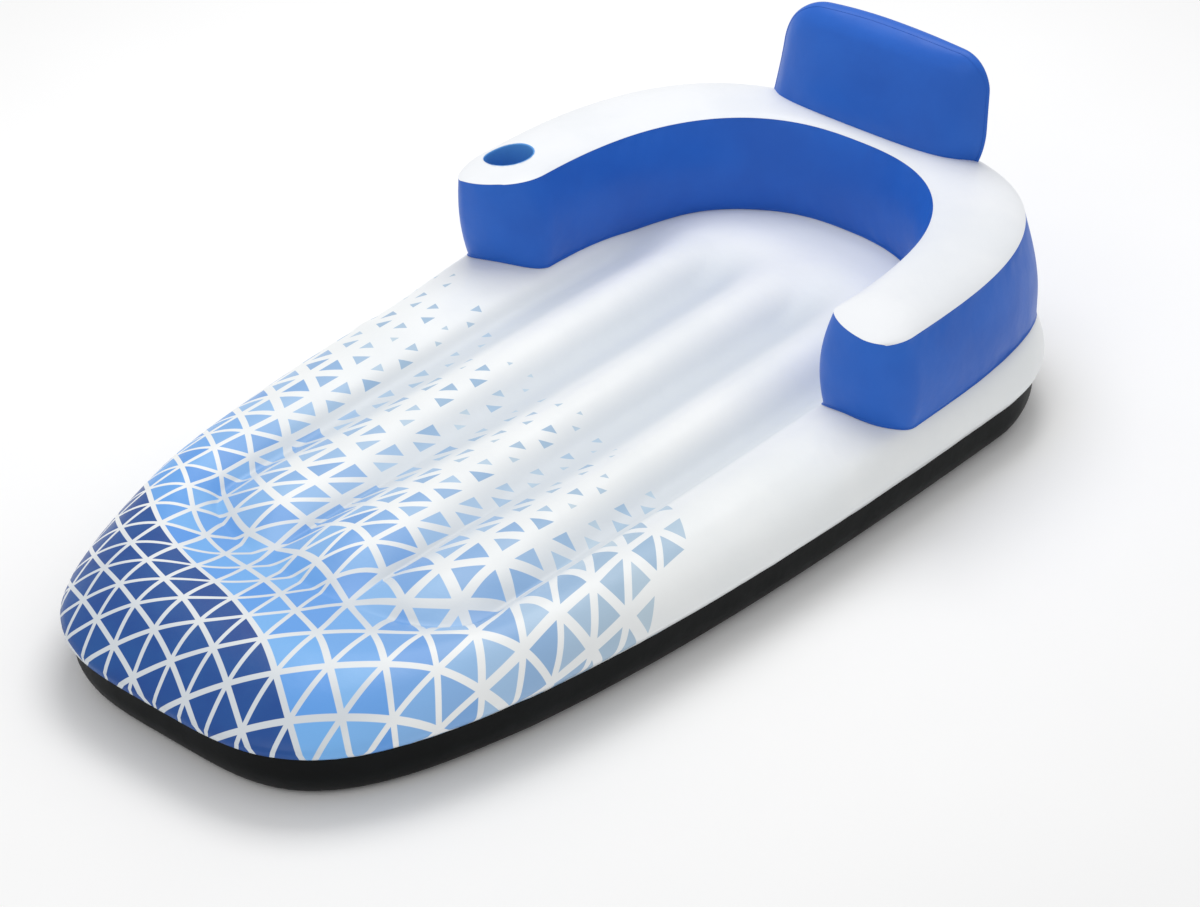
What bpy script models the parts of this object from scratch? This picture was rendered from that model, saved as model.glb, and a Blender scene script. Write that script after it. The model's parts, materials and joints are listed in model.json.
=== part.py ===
"""Inflatable pool lounge: printed air bed with a wrap-round backrest, cup holder and headrest.

Metres, +Z up. X is the width, Y the length, with the foot end at -Y and the headrest at +Y.
The origin is on the surface the lounge rests on, under the middle of its length and width.
"""
import math

import bmesh
import bpy
from mathutils import Vector

# Overall sizes
LENGTH = 1.83
WIDTH = 0.97

# Sheet and clearances
SKIN = 0.0004
WELD_GAP = 0.0003
SEAT_GAP = 0.0005
CUT_OVERRUN = 0.12

# Base outline: the widest point lies HEAD_ROUND in front of the head end
HEAD_ROUND = 0.34
FOOT_END_FULLNESS = 2.5
FOOT_SIDE_FULLNESS = 3.85
HEAD_FULLNESS = 2.15

# Base section
SEAM_HEIGHT = 0.079
SEAM_INSET = 0.017
FOOT_BULGE_HEIGHT = 0.096
FOOT_SIDE_HEIGHT = 0.124
FOOT_SHOULDER_HEIGHT = 0.152
FOOT_CREST_HEIGHT = 0.163
FOOT_INNER_HEIGHT = 0.152
BULGE_HEIGHT = 0.104
RIM_SIDE_HEIGHT = 0.144
RIM_SHOULDER_HEIGHT = 0.169
RIM_CREST_HEIGHT = 0.178
RIM_INNER_HEIGHT = 0.163
SEAT_BULGE_HEIGHT = 0.110
SEAT_SIDE_HEIGHT = 0.163
SEAT_SHOULDER_HEIGHT = 0.176
SEAT_CREST_HEIGHT = 0.179
SEAT_INNER_HEIGHT = 0.163
FOOT_TAPER_RUN = 0.60
SEAT_RISE_RUN = 0.30
SIDE_RIM_WIDTH = 0.215
FOOT_RIM_WIDTH = 0.315
HEAD_RIM_WIDTH = 0.215
RIM_PLACE_SHARES = (0.0, 0.10, 0.30, 0.56, 0.82)
BELLY_HEIGHT = 0.036
BELLY_INSET = 0.020
HEEL_HEIGHT = 0.005
HEEL_INSET = 0.040
FLOOR_INSET = 0.080

# Bed with its channels
CHANNELS = 3
CHANNEL_FACETS = 6
BED_CREST_HEIGHT = 0.175
BED_VALLEY_HEIGHT = 0.150
BORDER_HEIGHT = 0.143
BED_FOOT_CORNER = 0.12
BED_CORNER_FULLNESS = 2.2
CHANNEL_FULLNESS = 2.0
CHANNEL_END_RUN = 0.13
VALLEY_FADE_START = 0.36
VALLEY_FADE_RUN = 0.16
BED_ROW_SHARES = (0.0, 0.05, 0.11, 0.20, 0.30, 0.40, 0.50, 0.60, 0.70, 0.80, 0.89, 0.95, 1.0)
WELD_STRIP_FIRST_ROW = 1
WELD_STRIP_LAST_ROW = 9
END_STRIP_COLUMNS = 3

# Wrap-round backrest with its two arms
BACKREST_LENGTH = 0.585
ARM_WIDTH = 0.144
WALL_TOP_INSET = 0.012
WALL_FOOT_INSET = 0.024
WALL_TOP_BACK_INSET = 0.025
WALL_FOOT_BACK_INSET = 0.034
WALL_FOOT_INNER_DRAFT = 0.004
BACKREST_THICKNESS = 0.115
INNER_FULLNESS = 2.44
OUTER_TOP_FULLNESS = 2.9
OUTER_FOOT_FULLNESS = 3.6
ARM_TIP_TOP_REACH = 0.086
ARM_TIP_FOOT_REACH = 0.028
ARM_TIP_INNER_FULLNESS = 3.2
ARM_TIP_OUTER_FULLNESS = 2.5
BACKREST_INNER_HEIGHT = 0.343
BACKREST_OUTER_HEIGHT = 0.328
BACKREST_FOOT_HEIGHT = 0.120
BACKREST_CROWN = 0.012
WALL_BULGE = 0.014
WALL_LEVEL_SHARES = (0.0, 0.35, 0.68, 1.0)
BACKREST_STATIONS = 20
ARM_TIP_FACETS = 6
TIP_STEPS = 2
ARM_TIP_CORNER = math.radians(45)

# Cup holder in the left arm
CUP_BORE = 0.086
CUP_DEPTH = 0.100
CUP_AFT = 0.012
CUP_OUTWARD = 0.020
CUP_FACETS = 24
UPWARD_SHARE = 0.5

# Headrest
HEADREST_WIDTH = 0.420
HEADREST_ACROSS = -0.008
HEADREST_RISE = 0.207
HEADREST_CORNER = 0.068
HEADREST_FOOT_DEPTH = 0.080
HEADREST_TOP_DEPTH = 0.046
HEADREST_BACK_SETBACK = 0.006
HEADREST_LEAN = -0.006
HEADREST_BACK_WRAP = 0.022
HEADREST_FOOT_ROUND = 0.034
HEADREST_TOP_ROUND = 0.010
HEADREST_FRONT_CROWN = 0.018
HEADREST_BACK_CROWN = 0.012
HEADREST_EDGE_CROWN = 0.006
HEADREST_TOP_DROP = 0.008
HEADREST_FOOT_FLARE = 0.007
HEADREST_COLUMNS = 10
HEADREST_FOOT_OVERRUN = 0.03
HEADREST_FLARE_SHARE = 0.2
MIDDLE_SHARE = 0.5
HEADREST_ROW_SHARES = (0.0, 0.13, 0.28, 0.46, 0.64, 0.82, 1.0)

# Air valves
VALVE_RIM_RADIUS = 0.018
VALVE_MOUTH_RADIUS = 0.0115
VALVE_RIM_THICKNESS = 0.0012
STEM_RADIUS = 0.0075
STEM_BORE_RADIUS = 0.0050
STEM_LENGTH = 0.018
STEM_STAND = 0.001
SKIRT_WALL = 0.0005
PLUG_CAP_RADIUS = 0.0074
PLUG_CAP_THICKNESS = 0.0018
PLUG_NOSE_RADIUS = 0.0046
PLUG_NOSE_TIP_RADIUS = 0.0018
PLUG_NOSE_LENGTH = 0.0065
PLUG_TAB_WIDTH = 0.0050
PLUG_TAB_THICKNESS = 0.0008
PLUG_TAB_REACH = 0.0018
FLAP_RADIUS = 0.0060
FLAP_THICKNESS = 0.0005
VALVE_FACETS = 20
BASE_VALVE_RING = 1
BASE_VALVE_SIDE_FACE = 6
BACKREST_VALVE_LEVEL = 1
BACKREST_VALVE_FACE = 12
HEADREST_VALVE_COLUMN = 4
HEADREST_VALVE_ROW = 3

# Worked out from the sizes above
HALF_LENGTH = LENGTH / 2
HALF_WIDTH = WIDTH / 2
WIDEST_Y = HALF_LENGTH - HEAD_ROUND
BED_HALF_WIDTH = HALF_WIDTH - SIDE_RIM_WIDTH
BED_FOOT_Y = FOOT_RIM_WIDTH - HALF_LENGTH
BED_HEAD_Y = HALF_LENGTH - HEAD_RIM_WIDTH
BED_HEAD_CORNER = HEAD_ROUND - HEAD_RIM_WIDTH
CHANNEL_PITCH = 2 * BED_HALF_WIDTH / CHANNELS
BED_COLUMNS = CHANNELS * CHANNEL_FACETS
ARM_ROOT_Y = HALF_LENGTH - BACKREST_LENGTH
HEIGHT = BACKREST_OUTER_HEIGHT + HEADREST_RISE

# Colours as linear values
WHITE_VINYL = (0.82, 0.84, 0.87)
PRINT_BLUE = (0.16, 0.34, 0.72)
WALL_BLUE = (0.030, 0.098, 0.406)
FLOOR_BLACK = (0.012, 0.014, 0.018)
CLEAR_VINYL = (0.70, 0.74, 0.78)


def clear_scene():
    for thing in list(bpy.data.objects):
        bpy.data.objects.remove(thing, do_unlink=True)


def vinyl(name, colour, roughness):
    """One glossy sheet material."""
    material = bpy.data.materials.new(name)
    material.use_nodes = True
    shader = material.node_tree.nodes["Principled BSDF"]
    shader.inputs["Base Color"].default_value = (*colour, 1.0)
    shader.inputs["Roughness"].default_value = roughness
    shader.inputs["Metallic"].default_value = 0.0
    return material


def power(value, exponent):
    return math.copysign(abs(value) ** exponent, value)


def smooth_step(value):
    value = min(1.0, max(0.0, value))
    return value * value * (3 - 2 * value)


def oval_point(centre_y, reach_x, reach_y, side_fullness, end_fullness, angle):
    """Point of a superellipse round (0, centre_y), which may be fuller at its sides than at its end."""
    return Vector((reach_x * power(math.cos(angle), 2 / side_fullness),
                   centre_y + reach_y * power(math.sin(angle), 2 / end_fullness), 0.0))


def blend(start, end, share):
    return start + (end - start) * share


def spaced(points, count):
    """The same polyline with count equal steps of length."""
    lengths = [0.0]
    for first, second in zip(points, points[1:]):
        lengths.append(lengths[-1] + (second - first).length)
    result = []
    segment = 0
    for step in range(count + 1):
        target = lengths[-1] * step / count
        while segment < len(points) - 2 and lengths[segment + 1] < target:
            segment += 1
        span = lengths[segment + 1] - lengths[segment]
        share = 0.0 if span == 0 else (target - lengths[segment]) / span
        result.append(blend(points[segment], points[segment + 1], min(1.0, share)))
    return result


def link(name, mesh, material):
    mesh.materials.append(material)
    piece = bpy.data.objects.new(name, mesh)
    bpy.context.scene.collection.objects.link(piece)
    return piece


def mesh_from(name, points, faces):
    """A mesh in which every quad is cut along its first corner, so that neighbours match."""
    mesh = bpy.data.meshes.new(name)
    mesh.from_pydata([tuple(point) for point in points], [], faces)
    work = bmesh.new()
    work.from_mesh(mesh)
    bmesh.ops.triangulate(work, faces=work.faces, quad_method="FIXED")
    work.to_mesh(mesh)
    work.free()
    return mesh


def turned_over(face):
    """The same face seen from its other side, with the same first corner."""
    return (face[0],) + tuple(reversed(face[1:]))


def add_skin(piece, thickness=SKIN):
    """Give an open surface its sheet thickness, on the inner side."""
    skin = piece.modifiers.new("skin", "SOLIDIFY")
    skin.thickness = thickness
    skin.offset = -1
    skin.use_rim = True


def add_cut(piece, cutter, name):
    cut = piece.modifiers.new(name, "BOOLEAN")
    cut.operation = "DIFFERENCE"
    cut.solver = "EXACT"
    cut.object = cutter
    cutter.hide_render = True
    cutter.display_type = "WIRE"


def grid_faces(rows, columns, flip=False):
    """Faces of a grid with rows x columns cells, its points listed row by row."""
    faces = []
    for row in range(rows):
        for column in range(columns):
            first = row * (columns + 1) + column
            face = (first, first + 1, first + columns + 2, first + columns + 1)
            faces.append(turned_over(face) if flip else face)
    return faces


def sheet_from_grid(name, grid, material, flip=False):
    """An open sheet from a grid of points, given its thickness."""
    points = [point for row in grid for point in row]
    mesh = mesh_from(name, points, grid_faces(len(grid) - 1, len(grid[0]) - 1, flip))
    piece = link(name, mesh, material)
    add_skin(piece)
    return piece


def block_cutter(name, points, faces, shift, depth, material):
    """A solid between a height field moved by shift, and the same moved on by depth."""
    mesh = mesh_from(name, points, faces)
    work = bmesh.new()
    work.from_mesh(mesh)
    bmesh.ops.translate(work, verts=work.verts, vec=(0, 0, shift))
    grown = bmesh.ops.extrude_face_region(work, geom=list(work.faces), use_keep_orig=True)
    moved = [item for item in grown["geom"] if isinstance(item, bmesh.types.BMVert)]
    bmesh.ops.translate(work, verts=moved, vec=(0, 0, depth))
    bmesh.ops.recalc_face_normals(work, faces=work.faces)
    work.to_mesh(mesh)
    work.free()
    return link(name, mesh, material)


# Base outline and bed patch

def foot_outline(inset=0.0, steps=400):
    """Outline round the foot end, from the left bed corner to the right one."""
    corner_y = BED_FOOT_Y + BED_FOOT_CORNER
    reach_y = HALF_LENGTH + WIDEST_Y - inset
    share = (WIDEST_Y - corner_y) / reach_y
    start = math.asin(min(1.0, share ** (FOOT_END_FULLNESS / 2)))
    angles = [-math.pi + start + (math.pi - 2 * start) * step / steps for step in range(steps + 1)]
    return [oval_point(WIDEST_Y, HALF_WIDTH - inset, reach_y, FOOT_SIDE_FULLNESS, FOOT_END_FULLNESS,
                       angle) for angle in angles]


def head_outline(inset=0.0, steps=400):
    """Outline round the head end, from the right widest point to the left one."""
    angles = [math.pi * step / steps for step in range(steps + 1)]
    return [oval_point(WIDEST_Y, HALF_WIDTH - inset, HEAD_ROUND - inset, HEAD_FULLNESS, HEAD_FULLNESS,
                       angle) for angle in angles]


def side_outline_x(y, inset=0.0):
    """Half width of the outline at one place along its foot part."""
    share = (WIDEST_Y - y) / (HALF_LENGTH + WIDEST_Y - inset)
    return (HALF_WIDTH - inset) * (1 - share ** FOOT_END_FULLNESS) ** (1 / FOOT_SIDE_FULLNESS)


def bed_end_drop(x):
    """How far the bed's end has rounded back at x, as a share of its corner."""
    share = min(1.0, abs(x) / BED_HALF_WIDTH)
    return 1 - (1 - share ** BED_CORNER_FULLNESS) ** (1 / BED_CORNER_FULLNESS)


def bed_column_x(column):
    return BED_HALF_WIDTH * (2 * column / BED_COLUMNS - 1)


def bed_point(row, column):
    """Plan place of one bed grid point."""
    x = bed_column_x(column)
    low = BED_FOOT_Y + BED_FOOT_CORNER * bed_end_drop(x)
    high = BED_HEAD_Y - BED_HEAD_CORNER * bed_end_drop(x)
    return Vector((x, low + (high - low) * BED_ROW_SHARES[row], 0.0))


def bed_top_height(row, column):
    """Height of the bed's upper side: crowned channels that run down to the border all round."""
    place = bed_point(row, column)
    channel = min(CHANNELS - 1, int((place.x + BED_HALF_WIDTH) / CHANNEL_PITCH))
    crest_x = (2 * channel + 1) * CHANNEL_PITCH / 2 - BED_HALF_WIDTH
    share = min(1.0, abs(place.x - crest_x) / (CHANNEL_PITCH / 2))
    crown = 1 - share ** CHANNEL_FULLNESS
    outer = abs(place.x) > (CHANNELS - 1) / 2 * CHANNEL_PITCH
    if outer:
        height = BORDER_HEIGHT + (BED_CREST_HEIGHT - BORDER_HEIGHT) * crown
    else:
        fade = 1 - smooth_step((place.y - VALLEY_FADE_START) / VALLEY_FADE_RUN)
        height = BED_CREST_HEIGHT - (BED_CREST_HEIGHT - BED_VALLEY_HEIGHT) * (1 - crown) * fade
    first = bed_point(0, column).y
    last = bed_point(len(BED_ROW_SHARES) - 1, column).y
    end_distance = min(place.y - first, last - place.y)
    ramp = math.sqrt(smooth_step(end_distance / CHANNEL_END_RUN))
    return BORDER_HEIGHT + (height - BORDER_HEIGHT) * ramp


def bed_border():
    """Grid indices round the bed, from the left foot corner, anticlockwise from above."""
    last_row = len(BED_ROW_SHARES) - 1
    loop = [(0, column) for column in range(BED_COLUMNS)]
    loop += [(row, BED_COLUMNS) for row in range(last_row)]
    loop += [(last_row, column) for column in range(BED_COLUMNS, 0, -1)]
    loop += [(row, 0) for row in range(last_row, 0, -1)]
    return loop


def border_outline(inset=0.0):
    """Outline points that face the bed's border points, in the same order."""
    rows = len(BED_ROW_SHARES) - 1
    foot = spaced(foot_outline(inset), BED_COLUMNS)
    head = spaced(head_outline(inset), BED_COLUMNS)
    right = []
    for row in range(rows):
        y = bed_point(row, BED_COLUMNS).y
        right.append(Vector((side_outline_x(y, inset), y, 0.0)))
    left = [Vector((-point.x, point.y, 0.0)) for point in right]
    head_corner = [head[-1]]
    return foot[:-1] + right + head[:-1] + head_corner + list(reversed(left[1:]))


def rim_height(y, foot, middle, seat):
    """Height of one rim ring, which tapers to the foot and rises under the backrest."""
    taper = smooth_step((y + HALF_LENGTH) / FOOT_TAPER_RUN)
    rise = smooth_step((y - ARM_ROOT_Y) / SEAT_RISE_RUN + 1)
    return foot + (middle - foot) * taper + (seat - middle) * rise


def base_rings(levels):
    """Rings of points round the bed: each level is (kind, value, foot, middle and seat heights)."""
    border = [bed_point(*cell) for cell in bed_border()]
    outline = border_outline()
    rings = []
    for kind, value, foot, middle, seat in levels:
        ring = []
        for outer, inner in zip(outline, border):
            span = inner - outer
            place = outer + span.normalized() * value if kind == "inset" else outer + span * value
            ring.append(Vector((place.x, place.y, rim_height(outer.y, foot, middle, seat))))
        rings.append(ring)
    return rings


def base_surface(rings, height_of_bed):
    """Points and faces of a base sheet, seen from above: the bed grid, then the rings inwards."""
    rows = len(BED_ROW_SHARES) - 1
    points = []
    for row in range(rows + 1):
        for column in range(BED_COLUMNS + 1):
            place = bed_point(row, column)
            points.append(Vector((place.x, place.y, height_of_bed(row, column))))
    faces = grid_faces(rows, BED_COLUMNS)
    border = [row * (BED_COLUMNS + 1) + column for row, column in bed_border()]
    count = len(border)
    loops = []
    for ring in rings:
        loops.append(list(range(len(points), len(points) + count)))
        points += ring
    loops.append(border)
    for outer, inner in zip(loops, loops[1:]):
        for index in range(count):
            following = (index + 1) % count
            faces.append((outer[index], outer[following], inner[following], inner[index]))
    return points, faces


def level(kind, value, height):
    return kind, value, height, height, height


RIM_HEIGHTS = ((FOOT_BULGE_HEIGHT, BULGE_HEIGHT, SEAT_BULGE_HEIGHT),
               (FOOT_SIDE_HEIGHT, RIM_SIDE_HEIGHT, SEAT_SIDE_HEIGHT),
               (FOOT_SHOULDER_HEIGHT, RIM_SHOULDER_HEIGHT, SEAT_SHOULDER_HEIGHT),
               (FOOT_CREST_HEIGHT, RIM_CREST_HEIGHT, SEAT_CREST_HEIGHT),
               (FOOT_INNER_HEIGHT, RIM_INNER_HEIGHT, SEAT_INNER_HEIGHT))
TOP_LEVELS = [level("inset", SEAM_INSET, SEAM_HEIGHT + WELD_GAP / 2)]
TOP_LEVELS += [("share", share, *heights) for share, heights in zip(RIM_PLACE_SHARES, RIM_HEIGHTS)]
FLOOR_LEVELS = [level("inset", SEAM_INSET, SEAM_HEIGHT - WELD_GAP / 2),
                level("inset", BELLY_INSET, BELLY_HEIGHT),
                level("inset", HEEL_INSET, HEEL_HEIGHT),
                level("inset", FLOOR_INSET, 0.0)]


def make_base_sheets(white, black):
    points, faces = base_surface(base_rings(TOP_LEVELS), bed_top_height)
    top = link("base_top_sheet", mesh_from("base_top_sheet", points, faces), white)
    add_skin(top)
    points, faces = base_surface(base_rings(FLOOR_LEVELS), lambda row, column: 0.0)
    faces = [turned_over(face) for face in faces]
    floor = link("base_bottom_sheet", mesh_from("base_bottom_sheet", points, faces), black)
    add_skin(floor)
    return top, floor


def strip_body(name, path, across, material):
    """An upright inner strip along a path of (place, low height, high height)."""
    points = []
    for place, low, high in path:
        for side, height in ((-1, low), (1, low), (1, high), (-1, high)):
            points.append(Vector((place.x, place.y, height)) + across * (side * SKIN / 2))
    faces = [(0, 1, 2, 3), tuple(len(points) - 4 + corner for corner in (3, 2, 1, 0))]
    for station in range(len(path) - 1):
        first = station * 4
        for corner in range(4):
            following = (corner + 1) % 4
            faces.append((first + corner, first + 4 + corner, first + 4 + following, first + following))
    mesh = mesh_from(name, points, faces)
    work = bmesh.new()
    work.from_mesh(mesh)
    bmesh.ops.recalc_face_normals(work, faces=work.faces)
    work.to_mesh(mesh)
    work.free()
    return link(name, mesh, material)


def strip_station(row, column):
    place = bed_point(row, column)
    clearance = SKIN + WELD_GAP
    return place, clearance, bed_top_height(row, column) - clearance


def make_tie_strips(material):
    """Upright strips inside the base that hold the valleys down, with air gaps at their ends."""
    along = Vector((1, 0, 0))
    rows = range(WELD_STRIP_FIRST_ROW, WELD_STRIP_LAST_ROW + 1)
    names = ["tie_strip_left_border", "tie_strip_left", "tie_strip_right", "tie_strip_right_border"]
    for index, name in enumerate(names):
        column = index * BED_COLUMNS // CHANNELS
        strip_body(name, [strip_station(row, column) for row in rows], along, material)
    columns = range(END_STRIP_COLUMNS, BED_COLUMNS - END_STRIP_COLUMNS + 1)
    across = Vector((0, 1, 0))
    last = len(BED_ROW_SHARES) - 1
    strip_body("tie_strip_foot", [strip_station(0, column) for column in columns], across, material)
    strip_body("tie_strip_head", [strip_station(last, column) for column in columns], across, material)


# Backrest

def backrest_inner(level, angle):
    reach_x = HALF_WIDTH - WALL_TOP_INSET - ARM_WIDTH + WALL_FOOT_INNER_DRAFT * (1 - level)
    reach_y = BACKREST_LENGTH - WALL_TOP_BACK_INSET - BACKREST_THICKNESS
    bulge = WALL_BULGE * math.sin(math.pi * level)
    return oval_point(ARM_ROOT_Y, reach_x - bulge, reach_y - bulge, INNER_FULLNESS, INNER_FULLNESS, angle)


def backrest_outer(level, angle):
    inset_x = WALL_FOOT_INSET + (WALL_TOP_INSET - WALL_FOOT_INSET) * level
    inset_y = WALL_FOOT_BACK_INSET + (WALL_TOP_BACK_INSET - WALL_FOOT_BACK_INSET) * level
    fullness = OUTER_FOOT_FULLNESS + (OUTER_TOP_FULLNESS - OUTER_FOOT_FULLNESS) * level
    bulge = WALL_BULGE * math.sin(math.pi * level)
    return oval_point(ARM_ROOT_Y, HALF_WIDTH - inset_x + bulge, BACKREST_LENGTH - inset_y + bulge,
                      fullness, fullness, angle)


def arm_tip(level, angle, side):
    """Rounded end of an arm: angle 0 is its inner side and pi its outer side."""
    inner = backrest_inner(level, 0.0).x
    outer = backrest_outer(level, 0.0).x
    reach = ARM_TIP_FOOT_REACH + (ARM_TIP_TOP_REACH - ARM_TIP_FOOT_REACH) * level
    reach += WALL_BULGE * math.sin(math.pi * level)
    fullness = ARM_TIP_INNER_FULLNESS if angle < math.pi / 2 else ARM_TIP_OUTER_FULLNESS
    x = (inner + outer) / 2 - (outer - inner) / 2 * power(math.cos(angle), 2 / fullness)
    y = ARM_ROOT_Y - reach * power(math.sin(angle), 2 / fullness)
    return Vector((side * x, y, 0.0))


def backrest_inner_path(level):
    """Inner edge from the right arm's front inner corner round to the left arm's."""
    half = ARM_TIP_CORNER / 2
    path = [arm_tip(level, ARM_TIP_CORNER, 1), arm_tip(level, half, 1)]
    path += [backrest_inner(level, math.pi * step / BACKREST_STATIONS)
             for step in range(BACKREST_STATIONS + 1)]
    return path + [arm_tip(level, half, -1), arm_tip(level, ARM_TIP_CORNER, -1)]


def backrest_side_path(level):
    """Outer edge from the right arm's front outer corner round to the left arm's."""
    half = ARM_TIP_CORNER / 2
    path = [arm_tip(level, math.pi - ARM_TIP_CORNER, 1), arm_tip(level, math.pi - half, 1)]
    path += [backrest_outer(level, math.pi * step / BACKREST_STATIONS)
             for step in range(BACKREST_STATIONS + 1)]
    return path + [arm_tip(level, math.pi - half, -1), arm_tip(level, math.pi - ARM_TIP_CORNER, -1)]


def arm_tip_front(level, side):
    """Front of an arm, from its inner corner to its outer corner."""
    span = math.pi - 2 * ARM_TIP_CORNER
    return [arm_tip(level, ARM_TIP_CORNER + span * step / ARM_TIP_FACETS, side)
            for step in range(ARM_TIP_FACETS + 1)]


def first_wall_part(inner, left_front, outer, right_front):
    """From the right arm's inner side round the seat and the left arm's end to its outer side."""
    return inner[TIP_STEPS:] + left_front[1:] + list(reversed(outer))[1:TIP_STEPS + 1]


def second_wall_part(inner, left_front, outer, right_front):
    """From the right arm's inner side round its end and the back to the left arm's outer side."""
    start = list(reversed(inner[:TIP_STEPS + 1]))
    return start + right_front[1:] + outer[1:len(outer) - TIP_STEPS]


def backrest_inner_wall_path(level):
    return first_wall_part(backrest_inner_path(level), arm_tip_front(level, -1),
                           backrest_side_path(level), arm_tip_front(level, 1))


def backrest_outer_wall_path(level):
    return second_wall_part(backrest_inner_path(level), arm_tip_front(level, -1),
                            backrest_side_path(level), arm_tip_front(level, 1))


def backrest_top_grid():
    """Top panel: stations round the U, each crossing from its inner to its outer edge."""
    inner = backrest_inner_path(1.0)
    outer = backrest_side_path(1.0)
    last = len(inner) - 1
    grid = []
    for station, (near, far) in enumerate(zip(inner, outer)):
        ends = {0: arm_tip_front(1.0, 1), last: arm_tip_front(1.0, -1)}
        from_end = min(station, last - station)
        crown = BACKREST_CROWN * smooth_step(from_end / 2)
        row = []
        for step in range(ARM_TIP_FACETS + 1):
            share = step / ARM_TIP_FACETS
            place = ends[station][step] if station in ends else blend(near, far, share)
            height = BACKREST_INNER_HEIGHT + (BACKREST_OUTER_HEIGHT - BACKREST_INNER_HEIGHT) * share
            height += crown * 4 * share * (1 - share)
            row.append(Vector((place.x, place.y, height)))
        grid.append(row)
    return grid


def wall_grid(path_at, edge_heights):
    """A wall from its foot to just under the top panel's edge."""
    clearance = SKIN + WELD_GAP
    grid = []
    for level in WALL_LEVEL_SHARES:
        row = []
        for place, edge in zip(path_at(level), edge_heights):
            height = BACKREST_FOOT_HEIGHT + (edge - clearance - BACKREST_FOOT_HEIGHT) * level
            row.append(Vector((place.x, place.y, height)))
        grid.append(row)
    return grid


def panel_edge_heights(wall_part):
    """Heights of the top panel's edge over one wall."""
    top = backrest_top_grid()
    inner = [row[0].z for row in top]
    outer = [row[-1].z for row in top]
    return wall_part(inner, [point.z for point in top[-1]], outer, [point.z for point in top[0]])


def part_walls(grid):
    """Draw a wall's two upright ends back by a weld gap and a skin, clear of the wall they meet."""
    for row in grid:
        for end, neighbour in ((0, 1), (-1, -2)):
            step = row[neighbour] - row[end]
            row[end] = row[end] + step.normalized() * (WELD_GAP + SKIN)
    return grid


def make_backrest(white, blue):
    top_grid = backrest_top_grid()
    top = sheet_from_grid("backrest_top_panel", top_grid, white, flip=True)
    inner_grid = wall_grid(backrest_inner_wall_path, panel_edge_heights(first_wall_part))
    inner = sheet_from_grid("backrest_inner_wall", part_walls(inner_grid), blue, flip=True)
    outer_grid = wall_grid(backrest_outer_wall_path, panel_edge_heights(second_wall_part))
    outer = sheet_from_grid("backrest_outer_wall", part_walls(outer_grid), blue)
    points, faces = base_surface(base_rings(TOP_LEVELS)[1:], bed_top_height)
    cutter = block_cutter("base_cutter", points, faces, SEAT_GAP, -CUT_OVERRUN, white)
    add_cut(inner, cutter, "seat_on_base")
    add_cut(outer, cutter, "seat_on_base")
    return top, inner, outer


def panel_cutter(name, shift, depth, material):
    grid = backrest_top_grid()
    points = [point for row in grid for point in row]
    faces = grid_faces(len(grid) - 1, len(grid[0]) - 1, True)
    return block_cutter(name, points, faces, shift, depth, material)


def round_cutter(name, place, turn, radius, depth, facets, material):
    """A plain round cutter centred on place."""
    mesh = bpy.data.meshes.new(name)
    work = bmesh.new()
    bmesh.ops.create_cone(work, cap_ends=True, segments=facets, radius1=radius, radius2=radius, depth=depth)
    work.to_mesh(mesh)
    work.free()
    cutter = link(name, mesh, material)
    cutter.location = place
    cutter.rotation_euler = turn
    return cutter


def make_cup_holder(top_panel, blue):
    """A drink pocket let into the left arm, its mouth trimmed to the panel's own curve."""
    inner = backrest_inner(1.0, 0.0).x
    outer = backrest_outer(1.0, 0.0).x
    centre = Vector((-(inner + outer) / 2 - CUP_OUTWARD, ARM_ROOT_Y + CUP_AFT, 0.0))
    mouth = BACKREST_INNER_HEIGHT + BACKREST_CROWN + CUP_OUTWARD
    floor = BACKREST_OUTER_HEIGHT - CUP_DEPTH
    outer_radius = CUP_BORE / 2 + SKIN
    mesh = bpy.data.meshes.new("cup_holder")
    work = bmesh.new()
    bmesh.ops.create_cone(work, cap_ends=True, cap_tris=True, segments=CUP_FACETS, radius1=outer_radius,
                          radius2=outer_radius, depth=mouth - floor)
    lid = [face for face in work.faces if face.normal.z > UPWARD_SHARE]
    bmesh.ops.delete(work, geom=lid, context="FACES")
    work.to_mesh(mesh)
    work.free()
    cup = link("cup_holder", mesh, blue)
    cup.location = centre + Vector((0, 0, (mouth + floor) / 2))
    add_skin(cup)
    add_cut(cup, panel_cutter("cup_trim_cutter", 0.0, CUT_OVERRUN, blue), "trim_to_panel")
    hole = round_cutter("cup_hole_cutter", centre + Vector((0, 0, mouth)), (0, 0, 0),
                        outer_radius + WELD_GAP, CUT_OVERRUN, CUP_FACETS, blue)
    add_cut(top_panel, hole, "cup_hole")
    return cup


# Headrest

def headrest_edge_y(height_share, x, back):
    """Front or back edge of the headrest's side band at one height and place across."""
    across = abs(x) / (HEADREST_WIDTH / 2)
    foot_back = HALF_LENGTH - WALL_TOP_BACK_INSET - HEADREST_BACK_SETBACK
    y = foot_back + HEADREST_LEAN * height_share
    if back:
        return y - HEADREST_BACK_WRAP * across ** 2
    depth = HEADREST_FOOT_DEPTH + (HEADREST_TOP_DEPTH - HEADREST_FOOT_DEPTH) * height_share
    corner = HEADREST_FOOT_ROUND + (HEADREST_TOP_ROUND - HEADREST_FOOT_ROUND) * height_share
    return y - depth + corner * across ** 6


def headrest_foot_height():
    return BACKREST_OUTER_HEIGHT - HEADREST_FOOT_OVERRUN


def headrest_top_height(x):
    """Top edge of the front panel: a shallow arch with rounded corners."""
    half = HEADREST_WIDTH / 2
    top = HEIGHT - HEADREST_EDGE_CROWN - HEADREST_TOP_DROP * (x / half) ** 2
    beyond = max(0.0, abs(x) - (half - HEADREST_CORNER)) / HEADREST_CORNER
    return top - HEADREST_CORNER * (1 - math.sqrt(1 - min(1.0, beyond) ** 2))


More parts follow.
